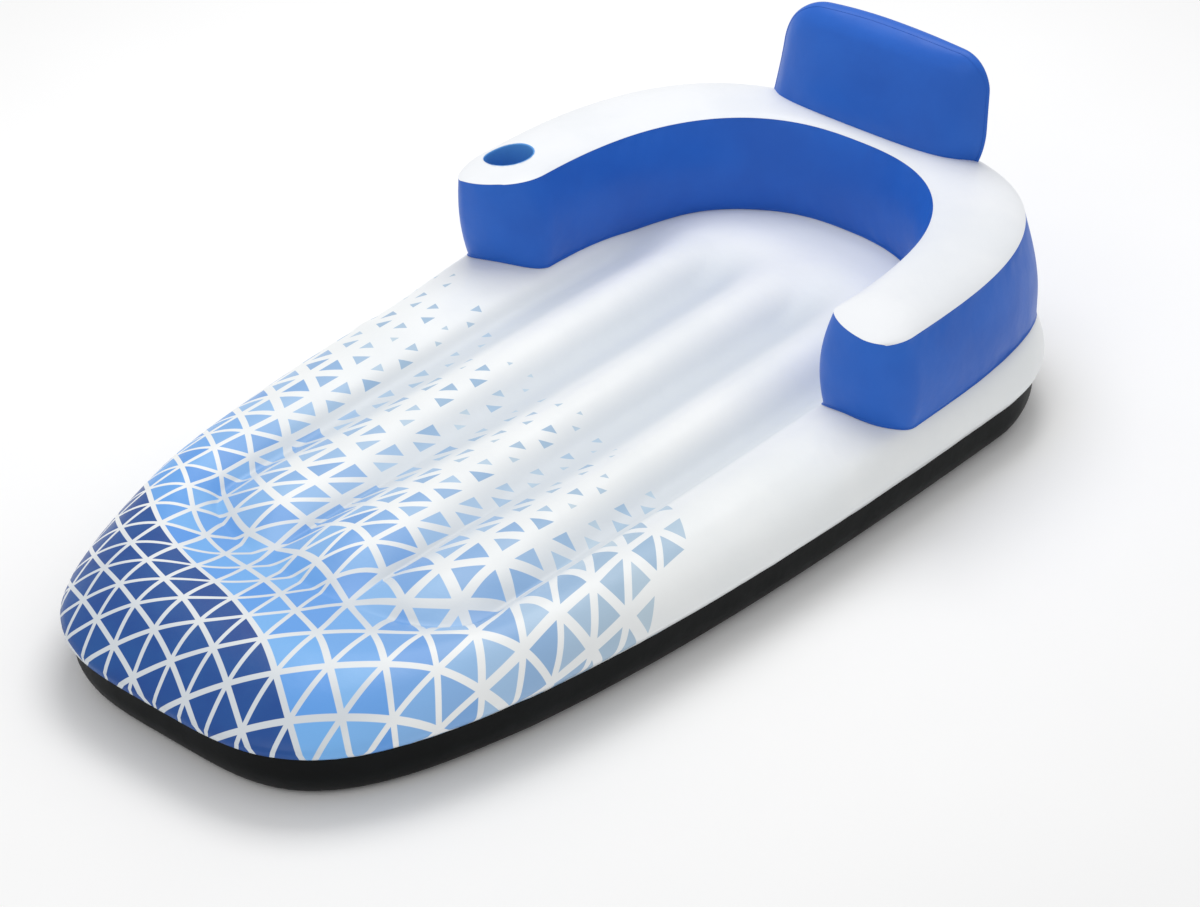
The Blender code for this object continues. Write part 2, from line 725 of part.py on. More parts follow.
def headrest_column_x(column):
    """Columns crowd towards the sides, where the corners turn."""
    share = 2 * column / HEADREST_COLUMNS - 1
    return HEADREST_WIDTH / 2 * math.sin(share * math.pi / 2)


def headrest_height_share(height):
    return (height - BACKREST_OUTER_HEIGHT) / (HEIGHT - BACKREST_OUTER_HEIGHT)


def headrest_panel_grid(back):
    grid = []
    foot = headrest_foot_height()
    for row in range(len(HEADREST_ROW_SHARES)):
        line = []
        for column in range(HEADREST_COLUMNS + 1):
            x = headrest_column_x(column)
            height = foot + (headrest_top_height(x) - foot) * HEADREST_ROW_SHARES[row]
            up = headrest_height_share(height)
            across = x / (HEADREST_WIDTH / 2)
            crown = (1 - across ** 4) * max(0.0, 1 - abs(2 * up - 1) ** 3)
            reach = HEADREST_BACK_CROWN if back else -HEADREST_FRONT_CROWN
            y = headrest_edge_y(up, x, back) + reach * crown
            flare = HEADREST_FOOT_FLARE * max(0.0, 1 - up / HEADREST_FLARE_SHARE)
            line.append(Vector((HEADREST_ACROSS + x + across * flare, y, height)))
        grid.append(line)
    return grid


def headrest_border(grid):
    """The free edge of a panel: up its left side, over the top and down the right side."""
    left = [row[0] for row in grid]
    right = [row[-1] for row in reversed(grid)]
    return left[:-1] + grid[-1] + right[1:]


def make_headrest(blue):
    front_grid = headrest_panel_grid(False)
    back_grid = headrest_panel_grid(True)
    front = sheet_from_grid("headrest_front_panel", front_grid, blue)
    back = sheet_from_grid("headrest_back_panel", back_grid, blue, flip=True)
    foot_middle = Vector((HEADREST_ACROSS, 0, headrest_foot_height()))
    band = [[], [], []]
    for near, far in zip(headrest_border(front_grid), headrest_border(back_grid)):
        clearance = (far - near).normalized() * (SKIN + WELD_GAP)
        middle = blend(near, far, MIDDLE_SHARE)
        outward = middle - foot_middle
        outward.y = 0
        band[0].append(near + clearance)
        band[1].append(middle + outward.normalized() * HEADREST_EDGE_CROWN)
        band[2].append(far - clearance)
    side = sheet_from_grid("headrest_side_band", band, blue)
    cutter = panel_cutter("headrest_cutter", SEAT_GAP, -CUT_OVERRUN, blue)
    for piece in (front, back, side):
        add_cut(piece, cutter, "seat_on_backrest")
    return front, back, side


# Air valves

def turned(name, profile, material, parent, facets=VALVE_FACETS):
    """A closed ring turned from a profile of (radius, height) listed anticlockwise."""
    points = []
    faces = []
    count = len(profile)
    for step in range(facets):
        angle = 2 * math.pi * step / facets
        for radius, height in profile:
            points.append((radius * math.cos(angle), radius * math.sin(angle), height))
    for step in range(facets):
        following = (step + 1) % facets
        for index in range(count):
            after = (index + 1) % count
            faces.append((step * count + index, following * count + index,
                          following * count + after, step * count + after))
    piece = link(name, mesh_from(name, points, faces), material)
    piece.parent = parent
    return piece


def make_valve(prefix, skin, corners, clear):
    """A push-in valve in the middle of one facet of a sheet, with its plug and inner flap."""
    centre = sum(corners, Vector()) / len(corners)
    normal = (corners[2] - corners[0]).cross(corners[3] - corners[1]).normalized()
    seat = bpy.data.objects.new(prefix + "_valve_seat", None)
    bpy.context.scene.collection.objects.link(seat)
    seat.location = centre
    seat.rotation_euler = normal.to_track_quat("Z", "Y").to_euler()
    hole = round_cutter(prefix + "_valve_cutter", centre, seat.rotation_euler,
                        VALVE_RIM_RADIUS + WELD_GAP, 2 * VALVE_RIM_RADIUS, VALVE_FACETS, clear)
    add_cut(skin, hole, prefix + "_valve_hole")

    turned(prefix + "_valve_rim", [
        (VALVE_MOUTH_RADIUS, -VALVE_RIM_THICKNESS), (VALVE_RIM_RADIUS, -VALVE_RIM_THICKNESS),
        (VALVE_RIM_RADIUS, 0.0), (VALVE_MOUTH_RADIUS, 0.0)], clear, seat)

    stem_foot = STEM_STAND - STEM_LENGTH
    skirt_top = VALVE_MOUTH_RADIUS - WELD_GAP
    skirt_foot = STEM_RADIUS + WELD_GAP
    turned(prefix + "_valve_skirt", [
        (skirt_foot, stem_foot), (skirt_foot + SKIRT_WALL, stem_foot),
        (skirt_top, 0.0), (skirt_top - SKIRT_WALL, 0.0)], clear, seat)

    turned(prefix + "_valve_stem", [
        (STEM_BORE_RADIUS, stem_foot), (STEM_RADIUS, stem_foot),
        (STEM_RADIUS, STEM_STAND), (STEM_BORE_RADIUS, STEM_STAND)], clear, seat)
    make_plug(prefix, seat, clear)
    make_flap(prefix, seat, stem_foot, clear)
    return seat


def disc_body(work, sections, facets=VALVE_FACETS):
    """A closed turned body from (radius, height, offset) sections, lowest first."""
    loops = []
    for radius, height, offset in sections:
        loops.append([work.verts.new((offset + radius * math.cos(2 * math.pi * step / facets),
                                      radius * math.sin(2 * math.pi * step / facets), height))
                      for step in range(facets)])
    work.faces.new(reversed(loops[0]))
    work.faces.new(loops[-1])
    for lower, upper in zip(loops, loops[1:]):
        for step in range(facets):
            following = (step + 1) % facets
            work.faces.new((lower[step], lower[following], upper[following], upper[step]))


def box_body(work, low, high):
    corners = bmesh.ops.create_cube(work, size=1.0)["verts"]
    for corner in corners:
        for axis in range(3):
            corner.co[axis] = high[axis] if corner.co[axis] > 0 else low[axis]


def joined(name, builders, material, parent, location):
    """One body made of overlapping shapes, joined by exact unions."""
    pieces = []
    for index, builder in enumerate(builders):
        mesh = bpy.data.meshes.new(name)
        work = bmesh.new()
        builder(work)
        bmesh.ops.recalc_face_normals(work, faces=work.faces)
        work.to_mesh(mesh)
        work.free()
        piece = link(name if index == 0 else name + "_tab_shape", mesh, material)
        piece.parent = parent
        piece.location = location
        pieces.append(piece)
    for extra in pieces[1:]:
        union = pieces[0].modifiers.new("join", "BOOLEAN")
        union.operation = "UNION"
        union.solver = "EXACT"
        union.object = extra
        extra.hide_render = True
        extra.display_type = "WIRE"
    return pieces[0]


def make_plug(prefix, seat, material):
    """Tapered plug on a short strap, hinged at the stem's edge."""
    hinge = Vector((PLUG_CAP_RADIUS + PLUG_TAB_REACH, 0.0, STEM_STAND + WELD_GAP))
    cap_top = PLUG_CAP_THICKNESS

    def cap(work):
        disc_body(work, [(PLUG_NOSE_TIP_RADIUS, -PLUG_NOSE_LENGTH, -hinge.x),
                         (PLUG_NOSE_RADIUS, 0.0, -hinge.x),
                         (PLUG_CAP_RADIUS, 0.0, -hinge.x),
                         (PLUG_CAP_RADIUS, cap_top, -hinge.x)])

    def tab(work):
        box_body(work, (-2 * PLUG_TAB_REACH, -PLUG_TAB_WIDTH / 2, 0.0),
                 (0.0, PLUG_TAB_WIDTH / 2, PLUG_TAB_THICKNESS))

    return joined(prefix + "_valve_plug", (cap, tab), material, seat, hinge)


def make_flap(prefix, seat, stem_foot, material):
    """Inner flap that closes the stem's lower end and swings into the chamber."""
    hinge = Vector((FLAP_RADIUS, 0.0, stem_foot - WELD_GAP))
    mesh = bpy.data.meshes.new(prefix + "_valve_flap")
    work = bmesh.new()
    disc_body(work, [(FLAP_RADIUS, -FLAP_THICKNESS, -FLAP_RADIUS), (FLAP_RADIUS, 0.0, -FLAP_RADIUS)])
    work.to_mesh(mesh)
    work.free()
    flap = link(prefix + "_valve_flap", mesh, material)
    flap.parent = seat
    flap.location = hinge
    return flap


def grid_corners(grid, row, column):
    return [grid[row][column], grid[row][column + 1], grid[row + 1][column + 1], grid[row + 1][column]]


def make_valves(base_top, backrest_outer_wall, headrest_back, clear):
    rings = base_rings(TOP_LEVELS)
    sides = len(BED_ROW_SHARES) - 1
    first = 2 * BED_COLUMNS + sides + BASE_VALVE_SIDE_FACE
    lower, upper = rings[BASE_VALVE_RING], rings[BASE_VALVE_RING + 1]
    make_valve("base", base_top, [lower[first], lower[first + 1], upper[first + 1], upper[first]], clear)
    walls = wall_grid(backrest_outer_wall_path, panel_edge_heights(second_wall_part))
    face = 2 * TIP_STEPS + ARM_TIP_FACETS + BACKREST_VALVE_FACE
    make_valve("backrest", backrest_outer_wall, grid_corners(walls, BACKREST_VALVE_LEVEL, face), clear)
    corners = grid_corners(headrest_panel_grid(True), HEADREST_VALVE_ROW, HEADREST_VALVE_COLUMN)
    make_valve("headrest", headrest_back, list(reversed(corners)), clear)


def main():
    clear_scene()
    white = vinyl("white_vinyl", WHITE_VINYL, 0.30)
    printed = vinyl("printed_vinyl", PRINT_BLUE, 0.30)
    blue = vinyl("blue_vinyl", WALL_BLUE, 0.32)
    black = vinyl("black_vinyl", FLOOR_BLACK, 0.35)
    clear = vinyl("clear_vinyl", CLEAR_VINYL, 0.25)
    base_top, _ = make_base_sheets(printed, black)
    make_tie_strips(white)
    backrest_top, _, backrest_outer_wall = make_backrest(white, blue)
    make_cup_holder(backrest_top, blue)
    _, headrest_back, _ = make_headrest(blue)
    make_valves(base_top, backrest_outer_wall, headrest_back, clear)


main()
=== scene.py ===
"""Looks of the inflatable pool lounge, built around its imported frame.

Metres, +Z up, X the width and Y the length, with the headrest at +Y. Each air chamber is a padded
piece of thin vinyl, drawn as smooth grids in the places that the frame's solids hold.
"""
import json
from math import asin, copysign, cos, exp, hypot, pi, radians, sin, sqrt

import bmesh
import bpy
import numpy
from mathutils import Matrix, Vector, noise
from mathutils.bvhtree import BVHTree


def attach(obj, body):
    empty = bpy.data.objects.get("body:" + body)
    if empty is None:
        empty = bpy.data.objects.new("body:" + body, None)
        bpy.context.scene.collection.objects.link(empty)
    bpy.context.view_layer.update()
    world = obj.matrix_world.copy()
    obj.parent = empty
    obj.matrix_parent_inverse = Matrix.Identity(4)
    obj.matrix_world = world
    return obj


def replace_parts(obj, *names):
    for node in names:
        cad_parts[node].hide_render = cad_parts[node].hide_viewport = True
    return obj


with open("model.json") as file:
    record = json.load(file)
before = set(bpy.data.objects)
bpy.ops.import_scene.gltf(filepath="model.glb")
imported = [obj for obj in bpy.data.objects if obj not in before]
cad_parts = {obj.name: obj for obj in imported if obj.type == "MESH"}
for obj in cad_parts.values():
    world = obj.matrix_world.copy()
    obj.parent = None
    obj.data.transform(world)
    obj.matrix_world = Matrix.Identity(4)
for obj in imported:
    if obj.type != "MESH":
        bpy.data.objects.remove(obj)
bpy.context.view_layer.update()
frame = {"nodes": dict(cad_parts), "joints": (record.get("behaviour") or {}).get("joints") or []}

# Sizes that the frame was made to
HALF_LENGTH = 0.915
HALF_WIDTH = 0.485
WIDEST_Y = 0.575
HEAD_ROUND = 0.34
FOOT_END_FULLNESS = 2.5
FOOT_SIDE_FULLNESS = 3.85
HEAD_FULLNESS = 2.15
SEAM_HEIGHT = 0.079
SEAM_INSET = 0.017
BED_HALF_WIDTH = 0.27
BED_FOOT_Y = -0.6
BED_HEAD_Y = 0.742
BED_FOOT_CORNER = 0.12
BED_HEAD_CORNER = 0.135
BED_CORNER_FULLNESS = 2.2
CHANNELS = 3
CHANNEL_PITCH = 0.18
BED_CREST_HEIGHT = 0.175
BED_VALLEY_HEIGHT = 0.144
BORDER_HEIGHT = 0.143
CHANNEL_END_RUN = 0.13
VALLEY_FADE_START = 0.46
VALLEY_FADE_RUN = 0.2
FOOT_TAPER_RUN = 0.6
SEAT_RISE_RUN = 0.3
RIM_SHARES = (0.0, 0.1, 0.3, 0.56, 0.82)
RIM_HEIGHTS = ((0.096, 0.104, 0.11), (0.124, 0.144, 0.163), (0.152, 0.169, 0.176),
               (0.163, 0.178, 0.179), (0.152, 0.163, 0.163))
FLOOR_PROFILE = ((0.017, 0.0788), (0.02, 0.036), (0.04, 0.005), (0.08, 0.0))

ARM_ROOT_Y = 0.33
BACKREST_LENGTH = 0.585
INNER_WALL_X = 0.329
RIGHT_TOP_FILL = 0.014
RIGHT_FOOT_FILL = 0.022
RIGHT_TOP_INSET = 0.037
LEFT_TOP_INSET = 0.007
RIGHT_FOOT_EXTRA = 0.013
WALL_FOOT_INSET = 0.024
WALL_TOP_BACK_INSET = 0.025
WALL_FOOT_BACK_INSET = 0.034
WALL_FOOT_INNER_DRAFT = 0.004
BACKREST_THICKNESS = 0.115
INNER_FULLNESS = 2.44
OUTER_TOP_FULLNESS = 2.9
OUTER_FOOT_FULLNESS = 3.6
# Each arm's end: share of the width at its nose, fullness on its inner and outer side, and reach
ARM_TIP_TOPS = {1: (0.59, 1.8, 1.95, 0.07), -1: (0.65, 2.0, 1.75, 0.1)}
ARM_TIP_FEET = {1: (0.46, 2.0, 1.95, 0.046), -1: (0.78, 1.8, 2.4, 0.05)}
ARM_TIP_STRAIGHTS = {1: 0.028, -1: 0.0}
ARM_TIP_CORNER = radians(45)
ARM_TIP_TURN = 0.3
ARM_TIP_SPAN = pi / 4
TIP_STEPS = 12
TIP_FRONT_STEPS = 24
TURN_STEPS = 160
BACKREST_INNER_HEIGHT = 0.343
BACKREST_OUTER_HEIGHT = 0.328
BACKREST_FOOT_HEIGHT = 0.12
BACKREST_CROWN = 0.012
WALL_BULGE = 0.01
RIGHT_WALL_BULGE = 0.021
INNER_WALL_BULGE = 0.022

CUP_PLACE = (-0.421, 0.342)
CUP_RADIUS = 0.043
CUP_FLOOR = 0.228
CUP_VINYL = 0.0004
CUP_TURNS = 72
CUP_FLOOR_RISE = 0.001
# Rings of the pocket: share of its radius, and height over its floor or over the panel
CUP_FLOOR_RINGS = ((0.3, 0.0006), (0.6, 0.0008), (0.8, 0.002), (0.91, 0.006), (0.965, 0.014),
                   (0.98, 0.03), (0.983, 0.055), (0.985, 0.08))
CUP_LIP_RINGS = ((0.985, -0.012), (0.985, -0.0016), (0.995, 0.0004), (1.045, 0.0008))
CUP_HOLE_GAP = 0.0012
CUP_HOLE_LIP = 0.002
CUP_LIP_REACH = 0.004

HEADREST_WIDTH = 0.42
HEADREST_ACROSS = -0.004
HEADREST_TOP = 0.535
HEADREST_FOOT_DEPTH = 0.08
HEADREST_TOP_DEPTH = 0.046
HEADREST_FOOT_BACK = 0.884
HEADREST_LEAN = 0.003
HEADREST_BACK_WRAP = 0.022
HEADREST_TOP_ROUND = 0.01
# Each side's corner, drop of its crest, rounding at the foot, and flare with its reach and its power
HEADREST_SIDES = {1: (0.057, 0.003, 0.042, -0.016, 0.35, 2), -1: (0.08, 0.015, 0.026, 0.019, 0.7, 1.5)}

# Sizes of the looks alone
PRINT_ROWS = 10.2
PRINT_STIFFNESS = 0.006
VINYL = 0.0006
WELD_WIDTH = 0.006
BED_COLUMNS = 84
BED_ROWS = 180
OUTLINE_STEPS = 800
CURVE_STEPS = 24
RIM_STEPS = 38
SIDE_STEPS = 22
SEAM_GAP = 0.0002
SEAT_LIFT = 0.024
SEAT_LIFT_START = 0.42
SEAT_LIFT_RUN = 0.24
PANEL_STATIONS = 300
PANEL_STEPS = 28
PANEL_END_STATIONS = 22
WALL_STATIONS = 430
WALL_LEVELS = 64
WALL_STEPS = 26
WALL_LOW_ROWS = 10
FLANGE = 0.003
FLANGE_LIFT = 0.0015
HEADREST_COLUMNS = 80
HEADREST_ROWS = 64
HEADREST_BAND_STEPS = 14
HEADREST_ROLL = 0.034
HEADREST_SEAM_TURN = radians(26)
HEADREST_SWELL = 0.005
HEADREST_FRONT_CROWN = 0.018
HEADREST_BACK_CROWN = 0.012
HEADREST_SEAM_INSET = HEADREST_ROLL * (1 - cos(HEADREST_SEAM_TURN))
HEADREST_HALF = HEADREST_WIDTH / 2 + HEADREST_SWELL - HEADREST_SEAM_INSET
STRIP_DROP = 0.0008
STRIP_EDGE = 0.012
PLUG_HINGE_X = 0.0092
PLUG_HINGE_Z = 0.0013
VALVE_SEAT_DROP = 0.0003
VALVE_FLAT_RADIUS = 0.0235
VALVE_SOFT_RADIUS = 0.05
VALVE_HOLE_RADIUS = 0.0183
PATCH_REACH = 0.03
UP = Vector((0, 0, 1))


def ease(value):
    value = min(1.0, max(0.0, value))
    return value * value * (3 - 2 * value)


def power(value, exponent):
    return copysign(abs(value) ** exponent, value)


def blend(start, end, share):
    return start + (end - start) * share


def plan(x, y):
    return Vector((x, y, 0.0))


def crowded(share, amount):
    """A share from 0 to 1 whose steps crowd towards both ends."""
    return (1 - amount) * share + amount * (1 - cos(pi * share)) / 2


def oval_point(centre_y, reach_x, reach_y, side_fullness, end_fullness, angle):
    """Point of a superellipse round (0, centre_y)."""
    return plan(reach_x * power(cos(angle), 2 / side_fullness),
                centre_y + reach_y * power(sin(angle), 2 / end_fullness))


def walked_lengths(points):
    """Length of a line up to each of its points."""
    lengths = [0.0]
    for first, second in zip(points, points[1:]):
        lengths.append(lengths[-1] + (second - first).length)
    return lengths


def averaged(values, times):
    """Values evened out with their neighbours, the two ends held."""
    for _ in range(times):
        inner = [(a + b + c) / 3 for a, b, c in zip(values, values[1:], values[2:])]
        values = [values[0]] + inner + [values[-1]]
    return values


def spaced(points, count):
    """The same line in count steps of equal length."""
    lengths = walked_lengths(points)
    result = []
    segment = 0
    for step in range(count + 1):
        target = lengths[-1] * step / count
        while segment < len(points) - 2 and lengths[segment + 1] < target:
            segment += 1
        span = lengths[segment + 1] - lengths[segment]
        share = 0.0 if span == 0 else (target - lengths[segment]) / span
        result.append(blend(points[segment], points[segment + 1], min(1.0, share)))
    return result


def flowing(points, count):
    """A smooth curve through the points, in count steps of about equal length."""
    ends = [points[0] * 2 - points[1]] + list(points) + [points[-1] * 2 - points[-2]]
    dense = []
    for before, first, second, after in zip(ends, ends[1:], ends[2:], ends[3:]):
        knots = [0.0]
        for start, end in ((before, first), (first, second), (second, after)):
            knots.append(knots[-1] + max(1e-6, (end - start).length) ** 0.5)
        for step in range(CURVE_STEPS):
            t = blend(knots[1], knots[2], step / CURVE_STEPS)
            a = blend(before, first, (t - knots[0]) / (knots[1] - knots[0]))
            b = blend(first, second, (t - knots[1]) / (knots[2] - knots[1]))
            c = blend(second, after, (t - knots[2]) / (knots[3] - knots[2]))
            near = blend(a, b, (t - knots[0]) / (knots[2] - knots[0]))
            far = blend(b, c, (t - knots[1]) / (knots[3] - knots[1]))
            dense.append(blend(near, far, (t - knots[1]) / (knots[2] - knots[1])))
    dense.append(points[-1].copy())
    return spaced(dense, count)


def wave(place, size, seed):
    """Soft noise from -1 to 1, with one swing about every size metres."""
    return noise.noise(Vector(place) / size + Vector((seed, 2.3 * seed, 0.7 * seed)))


def fold(distance, depth, run, start):
    """Depth of the small folds beside a weld: they start a little way off it and die away."""
    return depth * exp(-distance / run) * ease(distance / start)


# Making meshes

def new_object(name, data):
    made = bpy.data.objects.new(name, data)
    bpy.context.scene.collection.objects.link(made)
    return made


def show(name, mesh, material, body="lounge"):
    mesh.materials.clear()
    mesh.materials.append(material)
    piece = new_object(name, mesh)
    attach(piece, body)
    return piece


def new_piece(name, points, faces, material):
    mesh = bpy.data.meshes.new(name)
    mesh.from_pydata([tuple(point) for point in points], [], faces)
    mesh.update()
    mesh.shade_smooth()
    return show(name, mesh, material)


def cut_edges(mesh):
    """Keys of the edges that only one face uses."""
    used = {}
    for face in mesh.polygons:
        for key in face.edge_keys:
            used[key] = used.get(key, 0) + 1
    return {key for key, count in used.items() if count == 1}


def finish_panel(piece, node, thickness=VINYL):
    """A live shell inwards from the drawn surface, whose cut edges don't bend the light beside them."""
    cut = cut_edges(piece.data)
    for edge in piece.data.edges:
        edge.use_edge_sharp = edge.key in cut
    shell = piece.modifiers.new("vinyl", "SOLIDIFY")
    shell.thickness = thickness
    shell.offset = -1
    shell.use_rim = True
    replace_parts(piece, node)


def set_uv(piece, name, places):
    """A UV map with one flat place for each point."""
    layer = piece.data.uv_layers.new(name=name)
    for loop in piece.data.loops:
        layer.data[loop.index].uv = places[loop.vertex_index]


def grid_faces(rows, columns, flip=False):
    faces = []
    for row in range(rows):
        for column in range(columns):
            first = row * (columns + 1) + column
            face = (first, first + 1, first + columns + 2, first + columns + 1)
            faces.append(tuple(reversed(face)) if flip else face)
    return faces


def ring_faces(outer, inner):
    """Faces between two closed rings of points."""
    following = [(index + 1) % len(outer) for index in range(len(outer))]
    return [(outer[index], outer[after], inner[after], inner[index])
            for index, after in enumerate(following)]


def grid_piece(name, grid, material, flip=False):
    points = [point for row in grid for point in row]
    return new_piece(name, points, grid_faces(len(grid) - 1, len(grid[0]) - 1, flip), material)


def ruffle(piece, height, size, seed):
    """Soft swells along every point's own normal."""
    vertices = piece.data.vertices
    moved = [vertex.co + vertex.normal * (height * wave(vertex.co, size, seed)) for vertex in vertices]
    for vertex, place in zip(vertices, moved):
        vertex.co = place
    piece.data.update()


def ground_tree(piece):
    """A tree that answers where rays meet a piece's drawn surface."""
    faces = [tuple(face.vertices) for face in piece.data.polygons]
    return BVHTree.FromPolygons([vertex.co.copy() for vertex in piece.data.vertices], faces)


def ground_height(tree, place, otherwise=0.0):
    """Height of a piece's top under a plan place."""
    hit = tree.ray_cast(Vector((place.x, place.y, 0.7)), -UP)
    return hit[0].z if hit[0] is not None else otherwise


# Base outline and bed, as in the frame

def outline_arc(reach_y, side_fullness, end_fullness, start, end):
    """A rounded end of the base's outline, in steps of equal length."""
    angles = [start + (end - start) * step / OUTLINE_STEPS for step in range(OUTLINE_STEPS + 1)]
    return spaced([oval_point(WIDEST_Y, HALF_WIDTH, reach_y, side_fullness, end_fullness, angle)
                   for angle in angles], BED_COLUMNS)


def side_outline_x(y):
    share = (WIDEST_Y - y) / (HALF_LENGTH + WIDEST_Y)
    return HALF_WIDTH * (1 - share ** FOOT_END_FULLNESS) ** (1 / FOOT_SIDE_FULLNESS)


def bed_column_x(column):
    """Columns crowd towards the welds between the channels."""
    per_channel = BED_COLUMNS // CHANNELS
    channel = min(CHANNELS - 1, column // per_channel)
    across = 2 * (column - channel * per_channel) / per_channel - 1
    across = 0.6 * across + 0.4 * sin(across * pi / 2)
    return (channel + (across + 1) / 2) * CHANNEL_PITCH - BED_HALF_WIDTH


def bed_ends(x):
    """Where the bed starts and ends at a place of its width."""
    share = min(1.0, abs(x) / BED_HALF_WIDTH)
    drop = 1 - (1 - share ** BED_CORNER_FULLNESS) ** (1 / BED_CORNER_FULLNESS)
    return BED_FOOT_Y + BED_FOOT_CORNER * drop, BED_HEAD_Y - BED_HEAD_CORNER * drop


def bed_point(row, column):
    x = bed_column_x(column)
    low, high = bed_ends(x)
    return plan(x, blend(low, high, crowded(row / BED_ROWS, 0.25)))


def border_height(y):
    """The weld round the bed climbs behind the sitter, where the rim hides under the backrest."""
    return BORDER_HEIGHT + SEAT_LIFT * ease((y - SEAT_LIFT_START) / SEAT_LIFT_RUN)


def bed_top_height(x, y):
    """Crowned channels that run down to a narrow flat weld and fade out on the seat."""
    channel = min(CHANNELS - 1, max(0, int((x + BED_HALF_WIDTH) / CHANNEL_PITCH)))
    crest_x = (2 * channel + 1) * CHANNEL_PITCH / 2 - BED_HALF_WIDTH
    reach = CHANNEL_PITCH / 2
    share = min(1.0, abs(x - crest_x) / reach)
    border = border_height(y)
    fade = 1 - ease((y - VALLEY_FADE_START) / VALLEY_FADE_RUN)
    soft = (1 + cos(pi * share)) / 2
    firmness = 1 - ease((y + 0.5) / 0.45)
    outer = abs(x) > (CHANNELS - 1) / 2 * CHANNEL_PITCH - 1e-6 and abs(x) > abs(crest_x)
    if outer:
        height = border + (BED_CREST_HEIGHT - border) * blend(soft, 1 - share ** 2, firmness)
    else:
        valley = blend(soft, 1 - share ** 2, firmness * fade)
        height = BED_CREST_HEIGHT - (BED_CREST_HEIGHT - BED_VALLEY_HEIGHT) * (1 - valley) * fade
    low, high = bed_ends(x)
    end_distance = min(y - low, high - y)
    ramp = power(ease(max(0.0, end_distance - WELD_WIDTH / 2) / CHANNEL_END_RUN),
                 blend(0.5, 1.0, ease((y - 0.1) / 0.3)))
    beside_weld = (1 - share) * reach
    pucker = 0.0007 * exp(-beside_weld / 0.026) * fade * wave((x * 0.3, y, 0), 0.04, 3)
    pucker += 0.0006 * exp(-end_distance / 0.028) * wave((x, y * 0.3, 0), 0.04, 5)
    pucker *= ease(min(beside_weld, end_distance) / 0.012)
    return border + (height - border) * ramp + pucker


def bed_border():
    """Rows and columns of the bed's rim, once round from its foot's left corner."""
    loop = [(0, column) for column in range(BED_COLUMNS)]
    loop += [(row, BED_COLUMNS) for row in range(BED_ROWS)]
    loop += [(BED_ROWS, column) for column in range(BED_COLUMNS, 0, -1)]
    loop += [(row, 0) for row in range(BED_ROWS, 0, -1)]
    return loop


def border_outline():
    """Places on the base's outline that face the bed's border."""
    reach_y = HALF_LENGTH + WIDEST_Y
    share = (WIDEST_Y - BED_FOOT_Y - BED_FOOT_CORNER) / reach_y
    turn = asin(min(1.0, share ** (FOOT_END_FULLNESS / 2)))
    foot = outline_arc(reach_y, FOOT_SIDE_FULLNESS, FOOT_END_FULLNESS, turn - pi, -turn)
    head = outline_arc(HEAD_ROUND, HEAD_FULLNESS, HEAD_FULLNESS, 0.0, pi)
    right = []
    low, high = bed_ends(BED_HALF_WIDTH)
    for row in range(BED_ROWS):
        y = low + (bed_point(row, BED_COLUMNS).y - low) * (WIDEST_Y - low) / (high - low)
        right.append(plan(side_outline_x(y), y))
    left = [plan(-point.x, point.y) for point in right]
    return foot[:-1] + right + head + left[:0:-1]


def rim_height(y, foot, middle, seat):
    taper = ease((y + HALF_LENGTH) / FOOT_TAPER_RUN)
    rise = ease((y - ARM_ROOT_Y) / SEAT_RISE_RUN + 1)
    return foot + (middle - foot) * taper + (seat - middle) * rise


def rim_section(reach, y, seam_height, border):
    """The rim's outer face from its seam over the crest to the bed's border, as (inward, height)."""
    marks = [Vector((SEAM_INSET, seam_height + SEAM_GAP))]
    for share, heights in zip(RIM_SHARES, RIM_HEIGHTS):
        marks.append(Vector((share * reach, rim_height(y, *heights))))
    marks[-1].y = max(marks[-1].y, border + 0.008)
    softness = ease((y + 0.6) / 0.5)
    marks.append(Vector((0.92 * reach, border + (marks[-1].y - border) * blend(0.46, 0.22, softness))))
    marks.append(Vector((reach - WELD_WIDTH / 2, border)))
    return flowing(marks, RIM_STEPS - 1) + [Vector((reach, border))]


def base_shell(section_at, height_at):
    """Points, faces and flat places of a base sheet: the bed grid, then rings from the outside in."""
    points, flat = [], []
    for row in range(BED_ROWS + 1):
        for column in range(BED_COLUMNS + 1):
            place = bed_point(row, column)
            points.append(Vector((place.x, place.y, height_at(place.x, place.y))))
            flat.append((place.x, place.y))
    faces = grid_faces(BED_ROWS, BED_COLUMNS)
    columns = []
    for outer, cell in zip(border_outline(), bed_border()):
        inner = bed_point(*cell)
        reach = (inner - outer).length
        inward = (inner - outer).normalized()
        section = section_at(reach, outer, inner)
        columns.append([(outer + inward * mark.x + UP * mark.y,
                         (inner.x - inward.x * far, inner.y - inward.y * far))
                        for mark, far in zip(section, walked_lengths(section[::-1])[::-1])])
    loops = []
    for level in range(len(columns[0]) - 1):
        loops.append(list(range(len(points), len(points) + len(columns))))
        points += [column[level][0] for column in columns]
        flat += [column[level][1] for column in columns]
    loops.append([row * (BED_COLUMNS + 1) + column for row, column in bed_border()])
    for outer, inner in zip(loops, loops[1:]):
        faces += ring_faces(outer, inner)
    return points, faces, flat


def seam_height(place):
    """The weld between the printed and the black sheet wanders a little."""
    return SEAM_HEIGHT + 0.0008 * wave(place, 0.045, 7) + 0.0006 * wave(place, 0.017, 8)


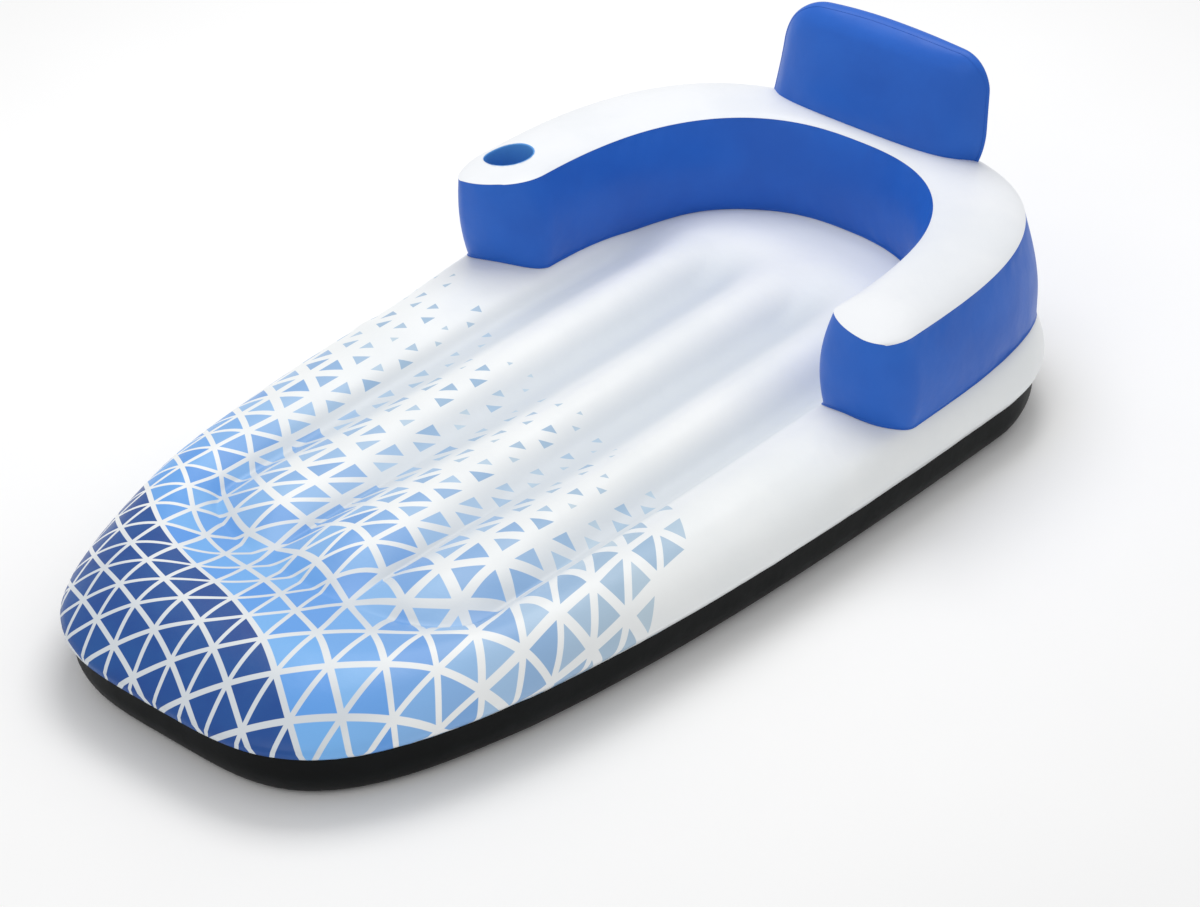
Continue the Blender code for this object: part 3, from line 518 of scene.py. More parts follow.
# Crossings of the print's lines on the flat sheet: line number, row number, x and y in millimetres
PRINT_CROSSINGS = (
    (-13, 4, -335, -319), (-12, 3, -336, -389), (-12, 4, -289, -341), (-11, 3, -302, -416),
    (-10, 4, -195, -420), (-10, 2, -294, -484), (-9, 3, -198, -479), (-9, 1, -297, -550),
    (-8, 2, -224, -529), (-8, 0, -310, -622), (-8, 1, -253, -588), (-7, 2, -155, -570),
    (-7, 1, -173, -624), (-5, 1, -91, -627), (-5, 2, -45, -553), (-7, 0, -260, -650),
    (-5, -2, -261, -773), (-5, -1, -206, -724), (-5, 0, -137, -690), (-4, -3, -234, -837),
    (-5, 3, -15, -463), (-4, 8, 356, -251), (-4, 9, 431, -264), (-3, -2, -147, -812), (-3, -1, -94, -757),
    (-3, 0, -28, -715), (-3, 3, 74, -502), (-3, 4, 169, -471), (-3, 6, 282, -340), (-3, 7, 379, -358),
    (-2, -3, -118, -886), (-2, 1, 51, -671), (-2, 2, 79, -586), (-2, 3, 164, -551), (-2, 5, 269, -425),
    (-2, 6, 380, -436), (-1, -3, -51, -913), (-1, -1, 25, -814), (-1, 0, 73, -755), (-1, 1, 126, -690),
    (-1, 2, 180, -632), (-1, 4, 321, -558), (-1, 5, 392, -520), (0, -2, 50, -903), (0, 0, 142, -800),
    (0, 1, 194, -742), (0, 2, 257, -687), (0, 3, 320, -640), (0, 4, 392, -620), (1, -1, 166, -900),
    (1, 0, 215, -850), (1, 1, 274, -796), (1, 2, 329, -748), (1, 3, 385, -706))


def print_places(flat):
    """Line and row numbers of the triangle print at each flat place, smooth through the crossings."""
    known = numpy.array(PRINT_CROSSINGS)
    numbers, places = known[:, :2], known[:, 2:] / 1000

    def pull(first, second):
        far = numpy.linalg.norm(first[:, None] - second[None], axis=2)
        return far ** 2 * numpy.log(numpy.maximum(far, 1e-9))

    count = len(places)
    plane = numpy.concatenate([numpy.ones((count, 1)), places], axis=1)
    system = numpy.block([[pull(places, places) + PRINT_STIFFNESS * numpy.eye(count), plane],
                          [plane.T, numpy.zeros((3, 3))]])
    weights = numpy.linalg.solve(system, numpy.concatenate([numbers, numpy.zeros((3, 2))]))
    wanted = numpy.array(flat)
    level = numpy.concatenate([numpy.ones((len(wanted), 1)), wanted], axis=1)
    return (pull(wanted, places) @ weights[:count] + level @ weights[count:]).tolist()


def floor_section(reach, outer, inner):
    marks = [Vector(mark) for mark in FLOOR_PROFILE]
    marks[0].y = seam_height(outer) - SEAM_GAP
    line = flowing(marks, SIDE_STEPS)
    return [Vector((mark.x, max(0.0, mark.y))) for mark in line] + [Vector((reach, 0.0))]


def make_base(printed, black):
    points, faces, flat = base_shell(
        lambda reach, outer, inner: rim_section(reach, outer.y, seam_height(outer), border_height(inner.y)),
        bed_top_height)
    top = new_piece("base_printed_top", points, faces, printed)
    set_uv(top, "sheet", flat)
    set_uv(top, "print", print_places(flat))
    ruffle(top, 0.0009, 0.18, 1)
    finish_panel(top, "base_top_sheet")

    points, faces, flat = base_shell(floor_section, lambda x, y: 0.0)
    faces = [tuple(reversed(face)) for face in faces]
    floor = new_piece("base_black_bottom", points, faces, black)
    set_uv(floor, "sheet", flat)
    finish_panel(floor, "base_bottom_sheet")
    return top


# Backrest, as in the frame

def backrest_inner(level, angle):
    reach_x = INNER_WALL_X + WALL_FOOT_INNER_DRAFT * (1 - level)
    reach_x -= blend(RIGHT_FOOT_FILL, RIGHT_TOP_FILL, level) * (1 - ease(angle / (pi / 2)))
    reach_y = BACKREST_LENGTH - WALL_TOP_BACK_INSET - BACKREST_THICKNESS
    bulge = INNER_WALL_BULGE * sin(pi * level)
    return oval_point(ARM_ROOT_Y, reach_x - bulge, reach_y - bulge, INNER_FULLNESS, INNER_FULLNESS, angle)


def backrest_outer(level, angle):
    """The right side's wall leans in further at its top than the left side's."""
    from_tip = ease(angle / ARM_TIP_SPAN)
    inset_x = blend(WALL_FOOT_INSET + RIGHT_FOOT_EXTRA * (1 - from_tip),
                    blend(RIGHT_TOP_INSET, LEFT_TOP_INSET, ease(angle / pi)), level)
    inset_y = blend(WALL_FOOT_BACK_INSET, WALL_TOP_BACK_INSET, level)
    fullness = blend(OUTER_FOOT_FULLNESS, OUTER_TOP_FULLNESS, level)
    bulge = blend(RIGHT_WALL_BULGE, WALL_BULGE, from_tip) * sin(pi * level)
    return oval_point(ARM_ROOT_Y, HALF_WIDTH - inset_x + bulge, BACKREST_LENGTH - inset_y + bulge,
                      fullness, fullness, angle)


def arm_tip(level, angle, side):
    """An arm's end in plan, from its inner side over its nose to its outer side."""
    root = 0.0 if side > 0 else pi
    inner, outer = abs(backrest_inner(level, root).x), abs(backrest_outer(level, root).x)
    nose_share, inner_fullness, outer_fullness, reach = (
        blend(foot, top, level) for foot, top in zip(ARM_TIP_FEET[side], ARM_TIP_TOPS[side]))
    reach += WALL_BULGE * sin(pi * level)
    nose = blend(inner, outer, nose_share)
    straight = ARM_TIP_STRAIGHTS[side]
    if angle >= pi / 2:
        x = nose - (outer - nose) * power(cos(angle), 2 / outer_fullness)
        return plan(side * x, ARM_ROOT_Y - reach * power(sin(angle), 2 / outer_fullness))
    straight_turn = ARM_TIP_TURN * pi / 2 if straight > 0 else 0.0
    if angle < straight_turn:
        return plan(side * inner, ARM_ROOT_Y - straight * angle / straight_turn)
    turn = (angle - straight_turn) / (1 - straight_turn / (pi / 2))
    x = nose - (nose - inner) * power(cos(turn), 2 / inner_fullness)
    return plan(side * x, ARM_ROOT_Y - straight - (reach - straight) * power(sin(turn), 2 / inner_fullness))


def arm_path(level, edge, turned):
    """From the right arm's end along an edge of the backrest to the left arm's end."""
    def tip(step, side):
        angle = blend(0.0, ARM_TIP_CORNER, step / TIP_STEPS)
        return arm_tip(level, pi - angle if turned else angle, side)

    path = [tip(TIP_STEPS - step, 1) for step in range(TIP_STEPS)]
    path += [edge(level, pi * step / TURN_STEPS) for step in range(TURN_STEPS + 1)]
    return path + [tip(step + 1, -1) for step in range(TIP_STEPS)]


def inner_path(level):
    return arm_path(level, backrest_inner, False)


def side_path(level):
    return arm_path(level, backrest_outer, True)


def tip_front(level, side, steps):
    span = pi - 2 * ARM_TIP_CORNER
    return [arm_tip(level, ARM_TIP_CORNER + span * step / steps, side) for step in range(steps + 1)]


def inner_wall_path(level):
    """From the right arm's inner side round the seat and the left arm's end to its outer side."""
    end = side_path(level)[-2:-TIP_STEPS - 2:-1]
    return inner_path(level)[TIP_STEPS:] + tip_front(level, -1, TIP_FRONT_STEPS)[1:] + end


def outer_wall_path(level):
    """From the right arm's inner side round its end and the back to the left arm's outer side."""
    start = inner_path(level)[TIP_STEPS::-1]
    return start + tip_front(level, 1, TIP_FRONT_STEPS)[1:] + side_path(level)[1:-TIP_STEPS]


def panel_height(share, from_end):
    height = blend(BACKREST_INNER_HEIGHT, BACKREST_OUTER_HEIGHT, share)
    edge = min(share, 1 - share)
    crown = BACKREST_CROWN * (1 - (1 - min(1.0, 2 * edge)) ** 2.6)
    return height + crown * ease(from_end)


def make_top_panel(white):
    inner = spaced(inner_path(1.0), PANEL_STATIONS)
    outer = spaced(side_path(1.0), PANEL_STATIONS)
    fronts = {0: tip_front(1.0, 1, PANEL_STEPS), PANEL_STATIONS: tip_front(1.0, -1, PANEL_STEPS)}
    grid = []
    for station, (near, far) in enumerate(zip(inner, outer)):
        end = 0 if station < PANEL_STATIONS / 2 else PANEL_STATIONS
        from_end = abs(station - end) / PANEL_END_STATIONS
        keep = max(0.0, 1 - from_end) ** 1.6
        row = []
        for step in range(PANEL_STEPS + 1):
            share = step / PANEL_STEPS
            place = blend(near, far, share)
            place = place + (fronts[end][step] - blend(inner[end], outer[end], share)) * keep
            edge = min(share, 1 - share) * (far - near).length
            place.z = panel_height(share, min(1.0, from_end + 0.12)) - 0.0016 * exp(-edge / 0.004)
            row.append(place)
        grid.append(row)
    panel = grid_piece("backrest_white_top", grid, white, flip=True)
    ruffle(panel, 0.0008, 0.15, 11)
    return panel


def plan_outward(row, station, side):
    """Plan direction out of a wall at one station."""
    before = row[max(0, station - 1)]
    after = row[min(len(row) - 1, station + 1)]
    along = plan(after.x - before.x, after.y - before.y).normalized()
    return plan(along.y, -along.x) * side


def wall_grid(path_at, panel, base_tree, side):
    """A wall in fine rows: a welded flange on the base, then up to the panel's edge."""
    paths = [spaced(path_at(level / WALL_LEVELS), WALL_STATIONS) for level in range(WALL_LEVELS + 1)]
    tops = nearest_edge_heights(paths[-1], panel)
    stations = range(WALL_STATIONS + 1)

    def place_at(station, level):
        low = min(WALL_LEVELS - 1, int(level * WALL_LEVELS))
        place = blend(paths[low][station], paths[low + 1][station], level * WALL_LEVELS - low)
        place.z = BACKREST_FOOT_HEIGHT + (tops[station] - BACKREST_FOOT_HEIGHT) * level
        return place

    def raised(place, lift, otherwise):
        return Vector((place.x, place.y, ground_height(base_tree, place, otherwise) + lift))

    feet = []
    for station in stations:
        level = 0.85
        while level > 0.02:
            place = place_at(station, level)
            if place.z <= ground_height(base_tree, place) + 0.0006:
                break
            level -= 0.004
        feet.append(level)
    feet = averaged(feet, 3)
    grid = []
    for step in range(WALL_STEPS + 1):
        share = crowded(step / WALL_STEPS, 0.2)
        grid.append([place_at(station, blend(feet[station], 1.0, share)) for station in stations])
    walked = walked_lengths(grid[-1])
    for step, row in enumerate(grid):
        moved = []
        for station, place in enumerate(row):
            up = (grid[-1][station] - place).length
            down = (place - grid[0][station]).length
            depth = fold(up, 0.0013, 0.02, 0.006) + fold(down, 0.0016, 0.024, 0.006)
            swing = wave((walked[station], 0.3 * place.z, 0.0), 0.026, 21 + side)
            soft = 0.0009 * wave((walked[station], place.z, 0.0), 0.11, 23 + side)
            amount = 2.0 * depth * swing + soft * ease(min(up, down) / 0.03)
            moved.append(place + plan_outward(row, station, side) * amount)
        grid[step] = moved
    for step in range(1, WALL_LOW_ROWS):
        for place in grid[step]:
            place.z = max(place.z, raised(place, FLANGE_LIFT, 0.0).z)
    grid[0] = [raised(place, FLANGE_LIFT + 0.0001, place.z) for place in grid[0]]
    flange = []
    for station, place in enumerate(grid[0]):
        outward = plan_outward(grid[0], station, side) * FLANGE
        fall = place.z - raised(place + outward, 0.0, place.z).z
        flange.append(raised(place + outward * min(1.0, FLANGE / max(fall, 1e-6)), FLANGE_LIFT, place.z))
    return [flange] + grid


def nearest_edge_heights(path, panel):
    """Height of the panel's rim nearest to each place of a wall's top path."""
    rim = [panel.data.vertices[index].co
           for index in sorted({corner for key in cut_edges(panel.data) for corner in key})]
    return averaged([min(rim, key=lambda point: (point.x - place.x) ** 2 + (point.y - place.y) ** 2).z
                     for place in path], 2)


def off_axis(place, centre, axis):
    """Height along an axis and distance from it."""
    off = place - centre
    height = off.dot(axis)
    return height, (off - axis * height).length


def open_hole(piece, centre, axis, radius, lip=0.0):
    """Cut a round hole in a sheet: the faces inside go and the edge left is drawn out to the circle."""
    tree = ground_tree(piece)
    work = bmesh.new()
    work.from_mesh(piece.data)

    def reach(vertex):
        height, away = off_axis(vertex.co, centre, axis)
        return away if abs(height) < PATCH_REACH else 1.0

    inside = {vertex for vertex in work.verts if reach(vertex) < radius * 1.03}
    gone = [face for face in work.faces if all(vertex in inside for vertex in face.verts)]
    kept = set(work.faces) - set(gone)
    drawn = [vertex for vertex in work.verts
             if vertex in inside and any(face in kept for face in vertex.link_faces)]
    bmesh.ops.delete(work, geom=gone, context="FACES")
    for vertex in drawn:
        off = vertex.co - centre
        off -= axis * off.dot(axis)
        place = centre + off.normalized() * radius
        hit = tree.ray_cast(place + axis * PATCH_REACH, -axis)[0]
        vertex.co = hit if hit is not None else place
    bmesh.ops.remove_doubles(work, verts=drawn, dist=0.0012)
    torn = [edge for edge in work.edges if edge.is_boundary
            and all(abs(reach(vertex) - radius) < 0.0008 for vertex in edge.verts)]
    for part in bmesh.ops.extrude_edge_only(work, edges=torn)["geom"]:
        if isinstance(part, bmesh.types.BMVert):
            part.co -= axis * lip
        elif isinstance(part, bmesh.types.BMFace):
            part.smooth = True
    work.to_mesh(piece.data)
    work.free()
    piece.data.update()


def make_backrest(white, blue, base_tree):
    panel = make_top_panel(white)
    inner = grid_piece("backrest_blue_inner_wall", wall_grid(inner_wall_path, panel, base_tree, -1),
                       blue, flip=True)
    outer = grid_piece("backrest_blue_outer_wall", wall_grid(outer_wall_path, panel, base_tree, 1),
                       blue)
    open_hole(panel, Vector((*CUP_PLACE, 0.34)), UP, CUP_RADIUS + CUP_HOLE_GAP, CUP_HOLE_LIP)
    finish_panel(panel, "backrest_top_panel")
    finish_panel(inner, "backrest_inner_wall")
    finish_panel(outer, "backrest_outer_wall")
    return panel, outer


def make_cup(blue, panel_tree):
    """A round pocket with a soft lip and a dished floor."""
    points, rings = [Vector((*CUP_PLACE, CUP_FLOOR + CUP_FLOOR_RISE))], []
    for share, lift in CUP_FLOOR_RINGS + CUP_LIP_RINGS:
        rings.append(range(len(points), len(points) + CUP_TURNS))
        for turn in range(CUP_TURNS):
            angle = 2 * pi * turn / CUP_TURNS
            place = plan(CUP_PLACE[0] + CUP_RADIUS * share * cos(angle),
                         CUP_PLACE[1] + CUP_RADIUS * share * sin(angle))
            below = CUP_FLOOR
            if len(rings) > len(CUP_FLOOR_RINGS):
                away = (place - plan(*CUP_PLACE)).normalized() * (CUP_RADIUS + CUP_LIP_REACH)
                below = ground_height(panel_tree, plan(*CUP_PLACE) + away, BACKREST_OUTER_HEIGHT)
            place.z = below + lift
            points.append(place)
    faces = [(0, rings[0][turn], rings[0][(turn + 1) % CUP_TURNS]) for turn in range(CUP_TURNS)]
    for low, high in zip(rings, rings[1:]):
        faces += ring_faces(high, low)
    # The pocket's material comes in lightened: painted light against the shade inside it
    cup = new_piece("cup_pocket", points, faces, blue)
    finish_panel(cup, "cup_holder", CUP_VINYL)


# Headrest, as in the frame

def headrest_side(x):
    return HEADREST_SIDES[1 if x > 0 else -1]


def headrest_edge_y(up, x, back):
    across = abs(x) / (HEADREST_WIDTH / 2)
    y = HEADREST_FOOT_BACK + HEADREST_LEAN * up
    if back:
        return y - HEADREST_BACK_WRAP * across ** 2
    depth = blend(HEADREST_FOOT_DEPTH, HEADREST_TOP_DEPTH, up)
    return y - depth + blend(headrest_side(x)[2], HEADREST_TOP_ROUND, up) * across ** 6


def headrest_crest(x):
    return HEADREST_TOP - HEADREST_SEAM_INSET - headrest_side(x)[1] * (x / HEADREST_HALF) ** 2


def headrest_top_height(x):
    corner = headrest_side(x)[0]
    beyond = max(0.0, abs(x) - (HEADREST_HALF - corner)) / corner
    return headrest_crest(x) - corner * (1 - sqrt(1 - min(1.0, beyond) ** 2))


def headrest_edge_distance(x, height):
    """How far a place lies inside the seam between the headrest's faces and its band."""
    corner = headrest_side(x)[0]
    beyond = abs(x) - (HEADREST_HALF - corner)
    above = height - (headrest_crest(x) - corner)
    if beyond > 0 and above > 0:
        return corner - hypot(beyond, above)
    return min(HEADREST_HALF - abs(x), headrest_crest(x) - height)


def headrest_place(x, height, back):
    """Place on a face of the pillow, whose edges roll over towards the band as half an oval."""
    up = (height - BACKREST_OUTER_HEIGHT) / (HEADREST_TOP - BACKREST_OUTER_HEIGHT)
    across = x / HEADREST_HALF
    near, far = headrest_edge_y(up, x, False), headrest_edge_y(up, x, True)
    crown = max(0.0, 1 - across ** 4) * max(0.0, 1 - abs(2 * up - 1) ** 3)
    reach = HEADREST_BACK_CROWN if back else -HEADREST_FRONT_CROWN
    run = HEADREST_ROLL * cos(HEADREST_SEAM_TURN)
    turned = (run - min(run, max(0.0, headrest_edge_distance(x, height)))) / HEADREST_ROLL
    half_depth = (far - near) / 2 * sqrt(1 - turned ** 2)
    y = (near + far) / 2 + (half_depth if back else -half_depth) + reach * crown
    flare, flare_reach, exponent = headrest_side(x)[3:]
    flare *= max(0.0, 1 - up / flare_reach) ** exponent
    return Vector((HEADREST_ACROSS + x + across * flare, y, height))


def headrest_grid(back, panel_tree):
    grid = []
    for row in range(HEADREST_ROWS + 1):
        share = row / HEADREST_ROWS
        share = 0.1 * share + 0.9 * sin(share * pi / 2)
        line = []
        for column in range(HEADREST_COLUMNS + 1):
            x = HEADREST_HALF * sin((2 * column / HEADREST_COLUMNS - 1) * pi / 2)
            guess = headrest_place(x, BACKREST_OUTER_HEIGHT, back)
            foot = ground_height(panel_tree, guess, BACKREST_OUTER_HEIGHT) + 0.0004
            height = foot + (headrest_top_height(x) - foot) * share
            place = headrest_place(x, height, back)
            depth = fold(height - foot, 0.0018, 0.022, 0.006)
            depth += fold(headrest_edge_distance(x, height), 0.001, 0.02, 0.005)
            place.y += depth * wave((x, 0.3 * height, 0), 0.024, 31 + back)
            line.append(place)
        grid.append(line)
    return grid


def headrest_border(grid):
    """Up the left side of a face, along its top and down its right side."""
    return [row[0] for row in grid[:-1]] + grid[-1] + [row[-1] for row in grid[-2::-1]]


def make_headrest(blue, panel_tree):
    grids = [headrest_grid(back, panel_tree) for back in (False, True)]
    near, far = (headrest_border(grid) for grid in grids)
    band = []
    for index, (first, second) in enumerate(zip(near, far)):
        along = near[min(len(near) - 1, index + 1)] - near[max(0, index - 1)]
        outward = Vector((-along.z, 0.0, along.x)).normalized()
        row = []
        for step in range(HEADREST_BAND_STEPS + 1):
            turn = HEADREST_SEAM_TURN * (1 - 2 * step / HEADREST_BAND_STEPS)
            share = (1 - sin(turn) / sin(HEADREST_SEAM_TURN)) / 2
            crown = HEADREST_ROLL * (cos(turn) - cos(HEADREST_SEAM_TURN))
            row.append(blend(first, second, share) + outward * crown)
        band.append(row)
    front = grid_piece("headrest_front", grids[0], blue)
    back = grid_piece("headrest_back", grids[1], blue, flip=True)
    band = grid_piece("headrest_band", band, blue)
    finish_panel(front, "headrest_front_panel")
    finish_panel(back, "headrest_back_panel")
    finish_panel(band, "headrest_side_band")
    return back


# Strips that tie the two base sheets together

def make_tie_strips(strip, base_tree):
    """Each strip as the frame has it, with its upper edge just under the printed sheet."""
    for name in [name for name in frame["nodes"] if name.startswith("tie_strip")]:
        mesh = frame["nodes"][name].data.copy()
        work = bmesh.new()
        work.from_mesh(mesh)
        bmesh.ops.remove_doubles(work, verts=work.verts, dist=0.00001)
        for _ in range(7):
            long_edges = [edge for edge in work.edges if edge.calc_length() > STRIP_EDGE]
            bmesh.ops.subdivide_edges(work, edges=long_edges, cuts=1)
        for corner in work.verts:
            if corner.co.z > SEAM_HEIGHT:
                roof = ground_height(base_tree, corner.co, corner.co.z) - 2 * VINYL
                corner.co.z = min(corner.co.z, roof - STRIP_DROP)
        work.to_mesh(mesh)
        work.free()
        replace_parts(show("welded_" + name, mesh, strip), name)


# Air valves, modelled once round a seat at the origin with +Z out of the sheet and +X towards the
# plug's strap

# Each valve part's steps round its axis, and its profile of radius and height in tenths of a millimetre,
# with a tiny radius where the part closes on its axis
POLE = 0.02
VALVE_PROFILES = {
    "rim": (56, ((113, -12), (179, -12), (179, 2), (212, 2), (216, 4), (216, 7), (211, 10), (186, 11),
        (180, 9), (175, 6), (168, 6), (163, 9), (156, 11), (126, 11), (118, 9), (114, 4), (113, -4),
        (113, -12))),
    "skirt": (48, ((79, -169), (84, -169), (88, -150), (101, -100), (107, -50), (111, -10), (106, -7),
        (101, -50), (96, -100), (83, -150), (79, -169))),
    "stem": (40, ((50, -169), (73, -169), (75, -165), (75, -4), (79, -1), (80, 3), (79, 8), (76, 10),
        (54, 10), (51, 8), (50, 4), (50, -169))),
    "plug": (40, ((POLE, -51), (14, -51), (18, -48), (45, 9), (46, 13), (70, 13), (74, 16), (74, 25),
        (70, 30), (64, 31), (52, 29), (46, 25), (40, 23), (POLE, 23))),
    "flap": (40, ((POLE, -178), (56, -178), (60, -176), (60, -174), (57, -173), (POLE, -173)))}
# The plug's strap and pull tab: lowest and highest corner, with heights over the hinge, and bevel
PLUG_STRAPS = (("strap", (0.005, -0.0024, 0.0001), (PLUG_HINGE_X, 0.0024, 0.0008), 0.0003),
               ("tab", (-0.0098, -0.0022, 0.0002), (-0.006, 0.0022, 0.001), 0.0004))


def valve_places():
    """Where each valve sits, from the joints of its plug and its flap."""
    joints = {joint["name"]: joint for joint in frame["joints"]}
    places = {}
    for name in ("base", "backrest", "headrest"):
        out = Vector(joints[name + "_valve_pull"]["axis"]).normalized()
        plug = Vector(joints[name + "_plug_flip"]["pos_m"])
        strap = plug - Vector(joints[name + "_flap_swing"]["pos_m"])
        strap = (strap - out * strap.dot(out)).normalized()
        seat = plug - strap * PLUG_HINGE_X - out * PLUG_HINGE_Z
        turn = Matrix((strap, out.cross(strap), out)).transposed().to_4x4()
        places[name] = Matrix.Translation(seat) @ turn
    return places


def turned_ring(name, steps, profile):
    """A circle extruded and resized through a profile, then closed."""
    bpy.ops.object.select_all(action="DESELECT")
    places = [(radius / 10000, height / 10000) for radius, height in profile]
    radius, height = places[0]
    bpy.ops.mesh.primitive_circle_add(vertices=steps, radius=radius, location=(0, 0, height))
    ring = bpy.context.object
    ring.name = name
    bpy.ops.object.transform_apply(location=True, rotation=False, scale=False)
    bpy.ops.object.mode_set(mode="EDIT")
    bpy.ops.mesh.select_all(action="SELECT")
    for wider, higher in places[1:]:
        bpy.ops.mesh.extrude_region_move(TRANSFORM_OT_translate={"value": (0, 0, higher - height)})
        share = wider / radius
        bpy.ops.transform.resize(value=(share, share, 1.0), center_override=(0, 0, 0))
        radius, height = wider, higher
    bpy.ops.mesh.select_all(action="SELECT")
    bpy.ops.mesh.remove_doubles(threshold=0.00002)
    bpy.ops.mesh.normals_make_consistent(inside=False)
    bpy.ops.object.mode_set(mode="OBJECT")
    return ring


def rounded_strap(name, low, high, bevel):
    """A cube sized between two corners, with its edges beveled, at the height of the plug's hinge."""
    bpy.ops.object.select_all(action="DESELECT")
    middle = [(first + second) / 2 for first, second in zip(low, high)]
    middle[2] += PLUG_HINGE_Z
    bpy.ops.mesh.primitive_cube_add(size=1.0, location=middle)
    strap = bpy.context.object
    strap.name = name
    strap.scale = [second - first for first, second in zip(low, high)]
    bpy.ops.object.transform_apply(location=True, rotation=False, scale=True)
    bpy.ops.object.mode_set(mode="EDIT")
    bpy.ops.mesh.select_all(action="SELECT")
    bpy.ops.mesh.bevel(offset=bevel, segments=2, affect="EDGES")
    bpy.ops.object.mode_set(mode="OBJECT")
    return strap


def joined(base, extra):
    """One closed body of two, by an applied exact union."""
    bpy.ops.object.select_all(action="DESELECT")
    bpy.context.view_layer.objects.active = base
    base.select_set(True)
    union = base.modifiers.new("join", "BOOLEAN")
    union.operation = "UNION"
    union.solver = "EXACT"
    union.object = extra
    bpy.ops.object.modifier_apply(modifier="join")
    bpy.data.objects.remove(extra)
    return base


def model_valve():
    """The five pieces of one valve: weld ring, skirt, stem, plug and flap."""
    parts = {name: turned_ring(name, *profile) for name, profile in VALVE_PROFILES.items()}
    for name, low, high, bevel in PLUG_STRAPS:
        parts["plug"] = joined(parts["plug"], rounded_strap(name, low, high, bevel))
    return parts


def make_valves(clear):
    models = model_valve()
    for place_name, place in valve_places().items():
        for part, model in models.items():
            mesh = model.data.copy()
            mesh.transform(place)
            node = place_name + "_valve_" + part
            body = node if part in ("stem", "plug", "flap") else "lounge"
            piece = show(node + "_vinyl", mesh, clear, body)
            bpy.ops.object.select_all(action="DESELECT")
            bpy.context.view_layer.objects.active = piece
            piece.select_set(True)
            bpy.ops.object.shade_smooth_by_angle(angle=radians(40))
            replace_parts(piece, node)
    for model in models.values():
        bpy.data.objects.remove(model)


def seat_valve(piece, place):
    """Ease a sheet flat round a valve and open it for the stem."""
    out = place.to_3x3().col[2].normalized()
    seat = place.to_translation() - out * VALVE_SEAT_DROP
    for vertex in piece.data.vertices:
        height, away = off_axis(vertex.co, seat, out)
        if away < VALVE_SOFT_RADIUS and abs(height) < PATCH_REACH:
            keep = ease((away - VALVE_FLAT_RADIUS) / (VALVE_SOFT_RADIUS - VALVE_FLAT_RADIUS))
            vertex.co -= out * height * (1 - keep)
    piece.data.update()
    open_hole(piece, seat, out, VALVE_HOLE_RADIUS)


# Materials

def add_node(tree, kind, inputs, output=0, **settings):
    """One output of a new node, whose inputs are links or plain values."""
    node = tree.nodes.new("ShaderNode" + kind)
    for name, value in settings.items():
        setattr(node, name, value)
    for key, value in inputs.items():
        if isinstance(value, bpy.types.NodeSocket):
            tree.links.new(value, node.inputs[key])
        else:
            node.inputs[key].default_value = value
    return None if output is None else node.outputs[output]


def make_material(name, tree_inputs):
    """A material whose shader takes the inputs that tree_inputs(tree, place) gives."""
    material = bpy.data.materials.new(name)
    material.use_nodes = True
    tree = material.node_tree
    tree.nodes.clear()
    place = add_node(tree, "TexCoord", {}, "Object")
    shader = add_node(tree, "BsdfPrincipled", tree_inputs(tree, place))
    add_node(tree, "OutputMaterial", {"Surface": shader}, None)
    return material


def calculate(tree, operation, *values):
    return add_node(tree, "Math", dict(enumerate(values)), operation=operation)


def remap(tree, value, low, high, new_low, new_high, interpolation="SMOOTHSTEP"):
    inputs = dict(enumerate((value, low, high, new_low, new_high)))
    return add_node(tree, "MapRange", inputs, interpolation_type=interpolation)


def mix_colour(tree, share, first, second):
    return add_node(tree, "Mix", {0: share, 6: first, 7: second}, 2, data_type="RGBA")


def noise_value(tree, place, per_metre, detail, roughness=0.5):
    return add_node(tree, "TexNoise", {"Vector": place, "Scale": per_metre, "Detail": detail,
                                       "Roughness": roughness})


def bump(tree, height, distance, **below):
    return add_node(tree, "Bump", {"Strength": 1.0, "Distance": distance, "Height": height, **below})


def colour(*parts):
    """A screen colour of 0 to 255 as linear light."""
    return (*(part / 255 / 12.92 if part / 255 <= 0.04045 else ((part / 255 + 0.055) / 1.055) ** 2.4
              for part in parts), 1.0)


def vinyl_surface(tree, place, tint, grain, roughness, coat, sheen):
    """Fine grain and a slack waviness in the light, shared by every vinyl."""
    slack = bump(tree, noise_value(tree, place, 26.0, 3.0, 0.45), 0.0011)
    fine = bump(tree, noise_value(tree, place, 900.0, 2.0), grain, Normal=slack)
    worn = noise_value(tree, place, 9.0, 4.0, 0.6)
    return {"Base Color": tint, "Normal": fine, "Coat Weight": coat, "Coat Roughness": 0.22, "IOR": 1.5,
            "Roughness": remap(tree, worn, 0.3, 0.7, roughness - 0.04, roughness + 0.05),
            "Specular IOR Level": sheen}


def clouded(tree, place, pale, deep, roughness=0.5):
    """A ground colour that wanders between two tints."""
    cloud = noise_value(tree, place, 5.0, 4.0, roughness)
    return mix_colour(tree, remap(tree, cloud, 0.32, 0.68, 0.0, 1.0), pale, deep)


def plain_vinyl(name, pale, deep, roughness, coat, sheen=0.5, grain=0.00003):
    def inputs(tree, place):
        tint = clouded(tree, place, colour(*pale), colour(*deep), 0.55)
        return vinyl_surface(tree, place, tint, grain, roughness, coat, sheen)

    return make_material(name, inputs)


